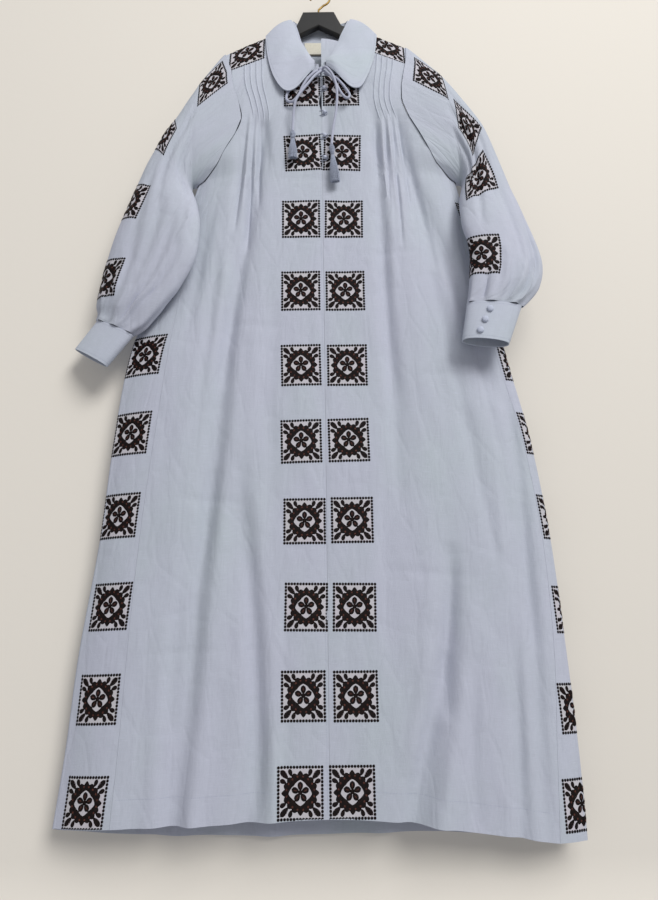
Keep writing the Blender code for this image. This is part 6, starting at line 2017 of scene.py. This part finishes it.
def dome_pieces():
    """The cuffs' covered buttons: the cloth drawn over a dome, gathered a little at its edge."""
    for side, word in ((-1, "left"), (1, "right")):
        surface = cuff_surface(side)
        turn = CUFF_BUTTON_TURN_RIGHT if side > 0 else CUFF_BUTTON_TURN_LEFT
        for number in range(CUFF_BUTTONS):
            v = CUFF_BUTTON_FIRST + CUFF_BUTTON_STEP * number
            u = turn + (CUFF_BUTTON_DRIFT * v if side > 0 else 0)
            across = surface(u + STEP, v) - surface(u - STEP, v)
            down = surface(u, v + STEP) - surface(u, v - STEP)
            facing = across.cross(down).normalized()
            if side < 0:
                facing.negate()
            centre = surface(u, v) + facing * CUFF_BUTTON_CLEARANCE
            right = facing.cross(Vector((0, 0, 1))).normalized()
            up = right.cross(facing)

            def dome(angle, share, centre=centre, facing=facing, right=right, up=up):
                if share < 0.62:
                    bend = math.pi / 2 * share / 0.62
                    wide, high = math.sin(bend) ** 0.85, math.cos(bend)
                    high = 0.30 + 0.70 * high
                else:
                    drop = (share - 0.62) / 0.38
                    wide, high = 1 - 0.9 * max(drop - 0.35, 0) / 0.65, 0.30 * (1 - min(drop / 0.35, 1))
                    wide *= 0.0 if share >= 1 else 1.0
                pucker = 1 + 0.02 * math.cos(14 * angle) * smooth((share - 0.4) / 0.2)
                outward = right * math.cos(angle) + up * math.sin(angle)
                return (centre + facing * CUFF_BUTTON_HEIGHT * high
                        + outward * CUFF_BUTTON_RADIUS * 0.99 * wide * pucker)

            node = f"cuff_button_{word}_{number + 1}"
            round_piece(node + "_covered", covered, "covered_button", node, shape_at=dome)


dome_pieces()


# Label: bare cream cloth with a band of painted shadow along its lower edge, where the neckband shades it,
# sewn inside the back neck.

HANGER_MIDDLE = -0.0045
HANGER_TOP = -0.0540

LABEL_HALF_WIDTH = 0.0310
LABEL_TOP = -0.1165
LABEL_BOTTOM = -0.1440
LABEL_THICKNESS = 0.0010


def label_surface(u, v):
    x = HANGER_MIDDLE / 2 + LABEL_HALF_WIDTH * (2 * u - 1)
    z = LABEL_TOP + (LABEL_BOTTOM - LABEL_TOP) * v
    return Vector((x, back_y(x, z) - CLOTH - SEAM_GAP, z))


label_look = Look("label_cloth", linear(226, 222, 206), 0.62)
label_look.tint(label_look.noise(900.0, 900.0, 900.0), linear(204, 199, 182), 0.45, 0.8)
label_look.bump((label_look.along("X", 2 * math.pi / 0.0005).sine()
                 * label_look.along("Z", 2 * math.pi / 0.0005).sine()), 0.00005)
label_look.rough(label_look.noise(700.0, 700.0, 700.0), 0.5, 0.7)

# Painted shadow: a dark band on the label's lower edge stands for the shade at the neckband's edge
label_shade_paint = thread_look("label_painted_shadow", (52, 46, 42), (78, 70, 62), 0.0005)

LABEL_SHADOW_START = 0.86  # share of the label's height where its band of painted shadow starts
label_rows = spread(0.0, LABEL_SHADOW_START, 16)[:-1] + spread(LABEL_SHADOW_START, 1.0, 4)
points = grid_of(label_surface, spread(0.0, 1.0, 40), label_rows)
piece, grid = shell("label_cloth_piece", points, LABEL_THICKNESS * 0.8, label_look.material)
piece.data.materials.append(label_shade_paint)
shadow_top = LABEL_TOP + (LABEL_BOTTOM - LABEL_TOP) * LABEL_SHADOW_START
# Faces below this height take the painted shadow
for face in piece.data.polygons:
    face.material_index = 1 if face.center.z < shadow_top else 0
on_frame(piece, "label", "neck_label")
surface_area(grid)


# Hanger: a flat moulded black body, its CAD mesh kept as it is, with a hook of aged brass wire.

black_look = Look("hanger_black", linear(6, 6, 7), 0.42)
black_look.tint(black_look.noise(60.0, 60.0, 60.0, detail=4.0), linear(14, 13, 14), 0.45, 0.85)
black_look.bump(black_look.noise(900.0, 900.0, 900.0), 0.00008, 0.5)
black_look.rough(black_look.noise(45.0, 45.0, 45.0, detail=4.0), 0.36, 0.55)

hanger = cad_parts["hanger_body"]
for slot in hanger.material_slots:
    slot.material = black_look.material

HOOK_WIRE = 0.0040
HOOK_INNER_RADIUS = 0.0170
HOOK_TURN = (-70, 180)  # degrees of the bend, from the stem to the tip
# The stem's points above the hanger, as place across from its middle and height
HOOK_STEM = ((0.0, 0.0006), (0.0, 0.0030), (0.0004, 0.0080))
HOOK_TIP = (-0.0015, -0.004)

brass_look = Look("aged_brass", linear(142, 116, 66), 0.34, 1.0)
brass_look.tint(brass_look.noise(240.0, 240.0, 240.0, detail=4.0), linear(92, 74, 44), 0.42, 0.8)
brass_look.bump(brass_look.noise(1400.0, 1400.0, 1400.0), 0.00004, 0.5)
brass_look.rough(brass_look.noise(160.0, 160.0, 160.0, detail=3.0), 0.24, 0.52)

radius = HOOK_INNER_RADIUS + HOOK_WIRE / 2
centre = Vector((0.0, 0.0, HOOK_WIRE / 2 - radius))
hook_path = [Vector((HANGER_MIDDLE + across, 0, HANGER_TOP + up)) for across, up in HOOK_STEM]
for angle in spread(*HOOK_TURN, 41):
    turn = math.radians(angle)
    hook_path.append(Vector((centre.x + radius * math.cos(turn), 0, centre.z + radius * math.sin(turn))))
hook_path.append(Vector((centre.x - radius + HOOK_TIP[0], 0, centre.z + HOOK_TIP[1])))
mesh_piece("hook_wire", [tube_parts(hook_path, lambda t: HOOK_WIRE / 2 * 0.995, 20)],
           brass_look.material, "hook", "hanger_hook")


# Wall, floor and light: a pale painted wall behind the dress, daylight from the right and above.

def stage_material():
    """Pale painted wall, seen only from its front."""
    look = Look("wall_paint", linear(222, 217, 208), 0.9)
    look.bump(look.noise(60.0, 60.0, 60.0, detail=4.0), 0.0005, 0.3)
    tree = look.tree
    clear = tree.nodes.new("ShaderNodeBsdfTransparent")
    mix = tree.nodes.new("ShaderNodeMixShader")
    facing = tree.nodes.new("ShaderNodeNewGeometry")
    output = tree.nodes["Material Output"]
    tree.links.new(facing.outputs["Backfacing"], mix.inputs[0])
    tree.links.new(look.shader.outputs[0], mix.inputs[1])
    tree.links.new(clear.outputs[0], mix.inputs[2])
    tree.links.new(mix.outputs[0], output.inputs["Surface"])
    return look.material


WALL_Y = 0.038
FLOOR_Z = -1.760
sweep = []
for k in range(13):
    angle = math.pi / 2 * k / 12
    sweep.append((WALL_Y - 0.15 * (1 - math.cos(angle)), FLOOR_Z + 0.15 * (1 - math.sin(angle))))
profile = [(WALL_Y, 1.5)] + sweep + [(-3.5, FLOOR_Z)]
verts = [(x, y, z) for y, z in profile for x in (-3.0, 3.0)]
faces = [(2 * k, 2 * k + 2, 2 * k + 3, 2 * k + 1) for k in range(len(profile) - 1)]
mesh = bpy.data.meshes.new("backdrop")
mesh.from_pydata(verts, [], faces)
mesh.materials.append(stage_material())
mesh.shade_smooth()
backdrop = bpy.data.objects.new("backdrop", mesh)
bpy.context.collection.objects.link(backdrop)
# The room's light reaches the back of the dress through the wall, for views from behind
backdrop.visible_diffuse = False
backdrop.visible_shadow = False


def area_light(name, place_on, target, size, power, colour):
    lamp = bpy.data.lights.new(name, "AREA")
    lamp.shape = "RECTANGLE"
    lamp.size, lamp.size_y = size
    lamp.energy = power
    lamp.color = colour
    made = bpy.data.objects.new(name, lamp)
    made.location = place_on
    made.rotation_mode = "QUATERNION"
    made.rotation_quaternion = (Vector(target) - Vector(place_on)).to_track_quat("-Z", "Y")
    bpy.context.collection.objects.link(made)


sun = bpy.data.lights.new("window_light", "SUN")
sun.energy = 1.5
sun.angle = math.radians(24)
sun.color = (1.0, 0.985, 0.965)
sun_object = bpy.data.objects.new("window_light", sun)
sun_object.rotation_mode = "QUATERNION"
sun_object.rotation_quaternion = Vector((-0.46, 0.70, -0.54)).to_track_quat("-Z", "Y")
bpy.context.collection.objects.link(sun_object)
area_light("room_light", (0.9, -1.9, 0.9), (0.0, 0.0, -0.6), (1.6, 1.2), 26.0, (1.0, 0.99, 0.97))
world = bpy.data.worlds.new("room")
world.use_nodes = True
world.node_tree.nodes["Background"].inputs["Color"].default_value = (0.97, 0.97, 1.0, 1.0)
world.node_tree.nodes["Background"].inputs["Strength"].default_value = 0.44
bpy.context.scene.world = world
bpy.context.scene.view_settings.view_transform = "Standard"

bpy.context.view_layer.update()
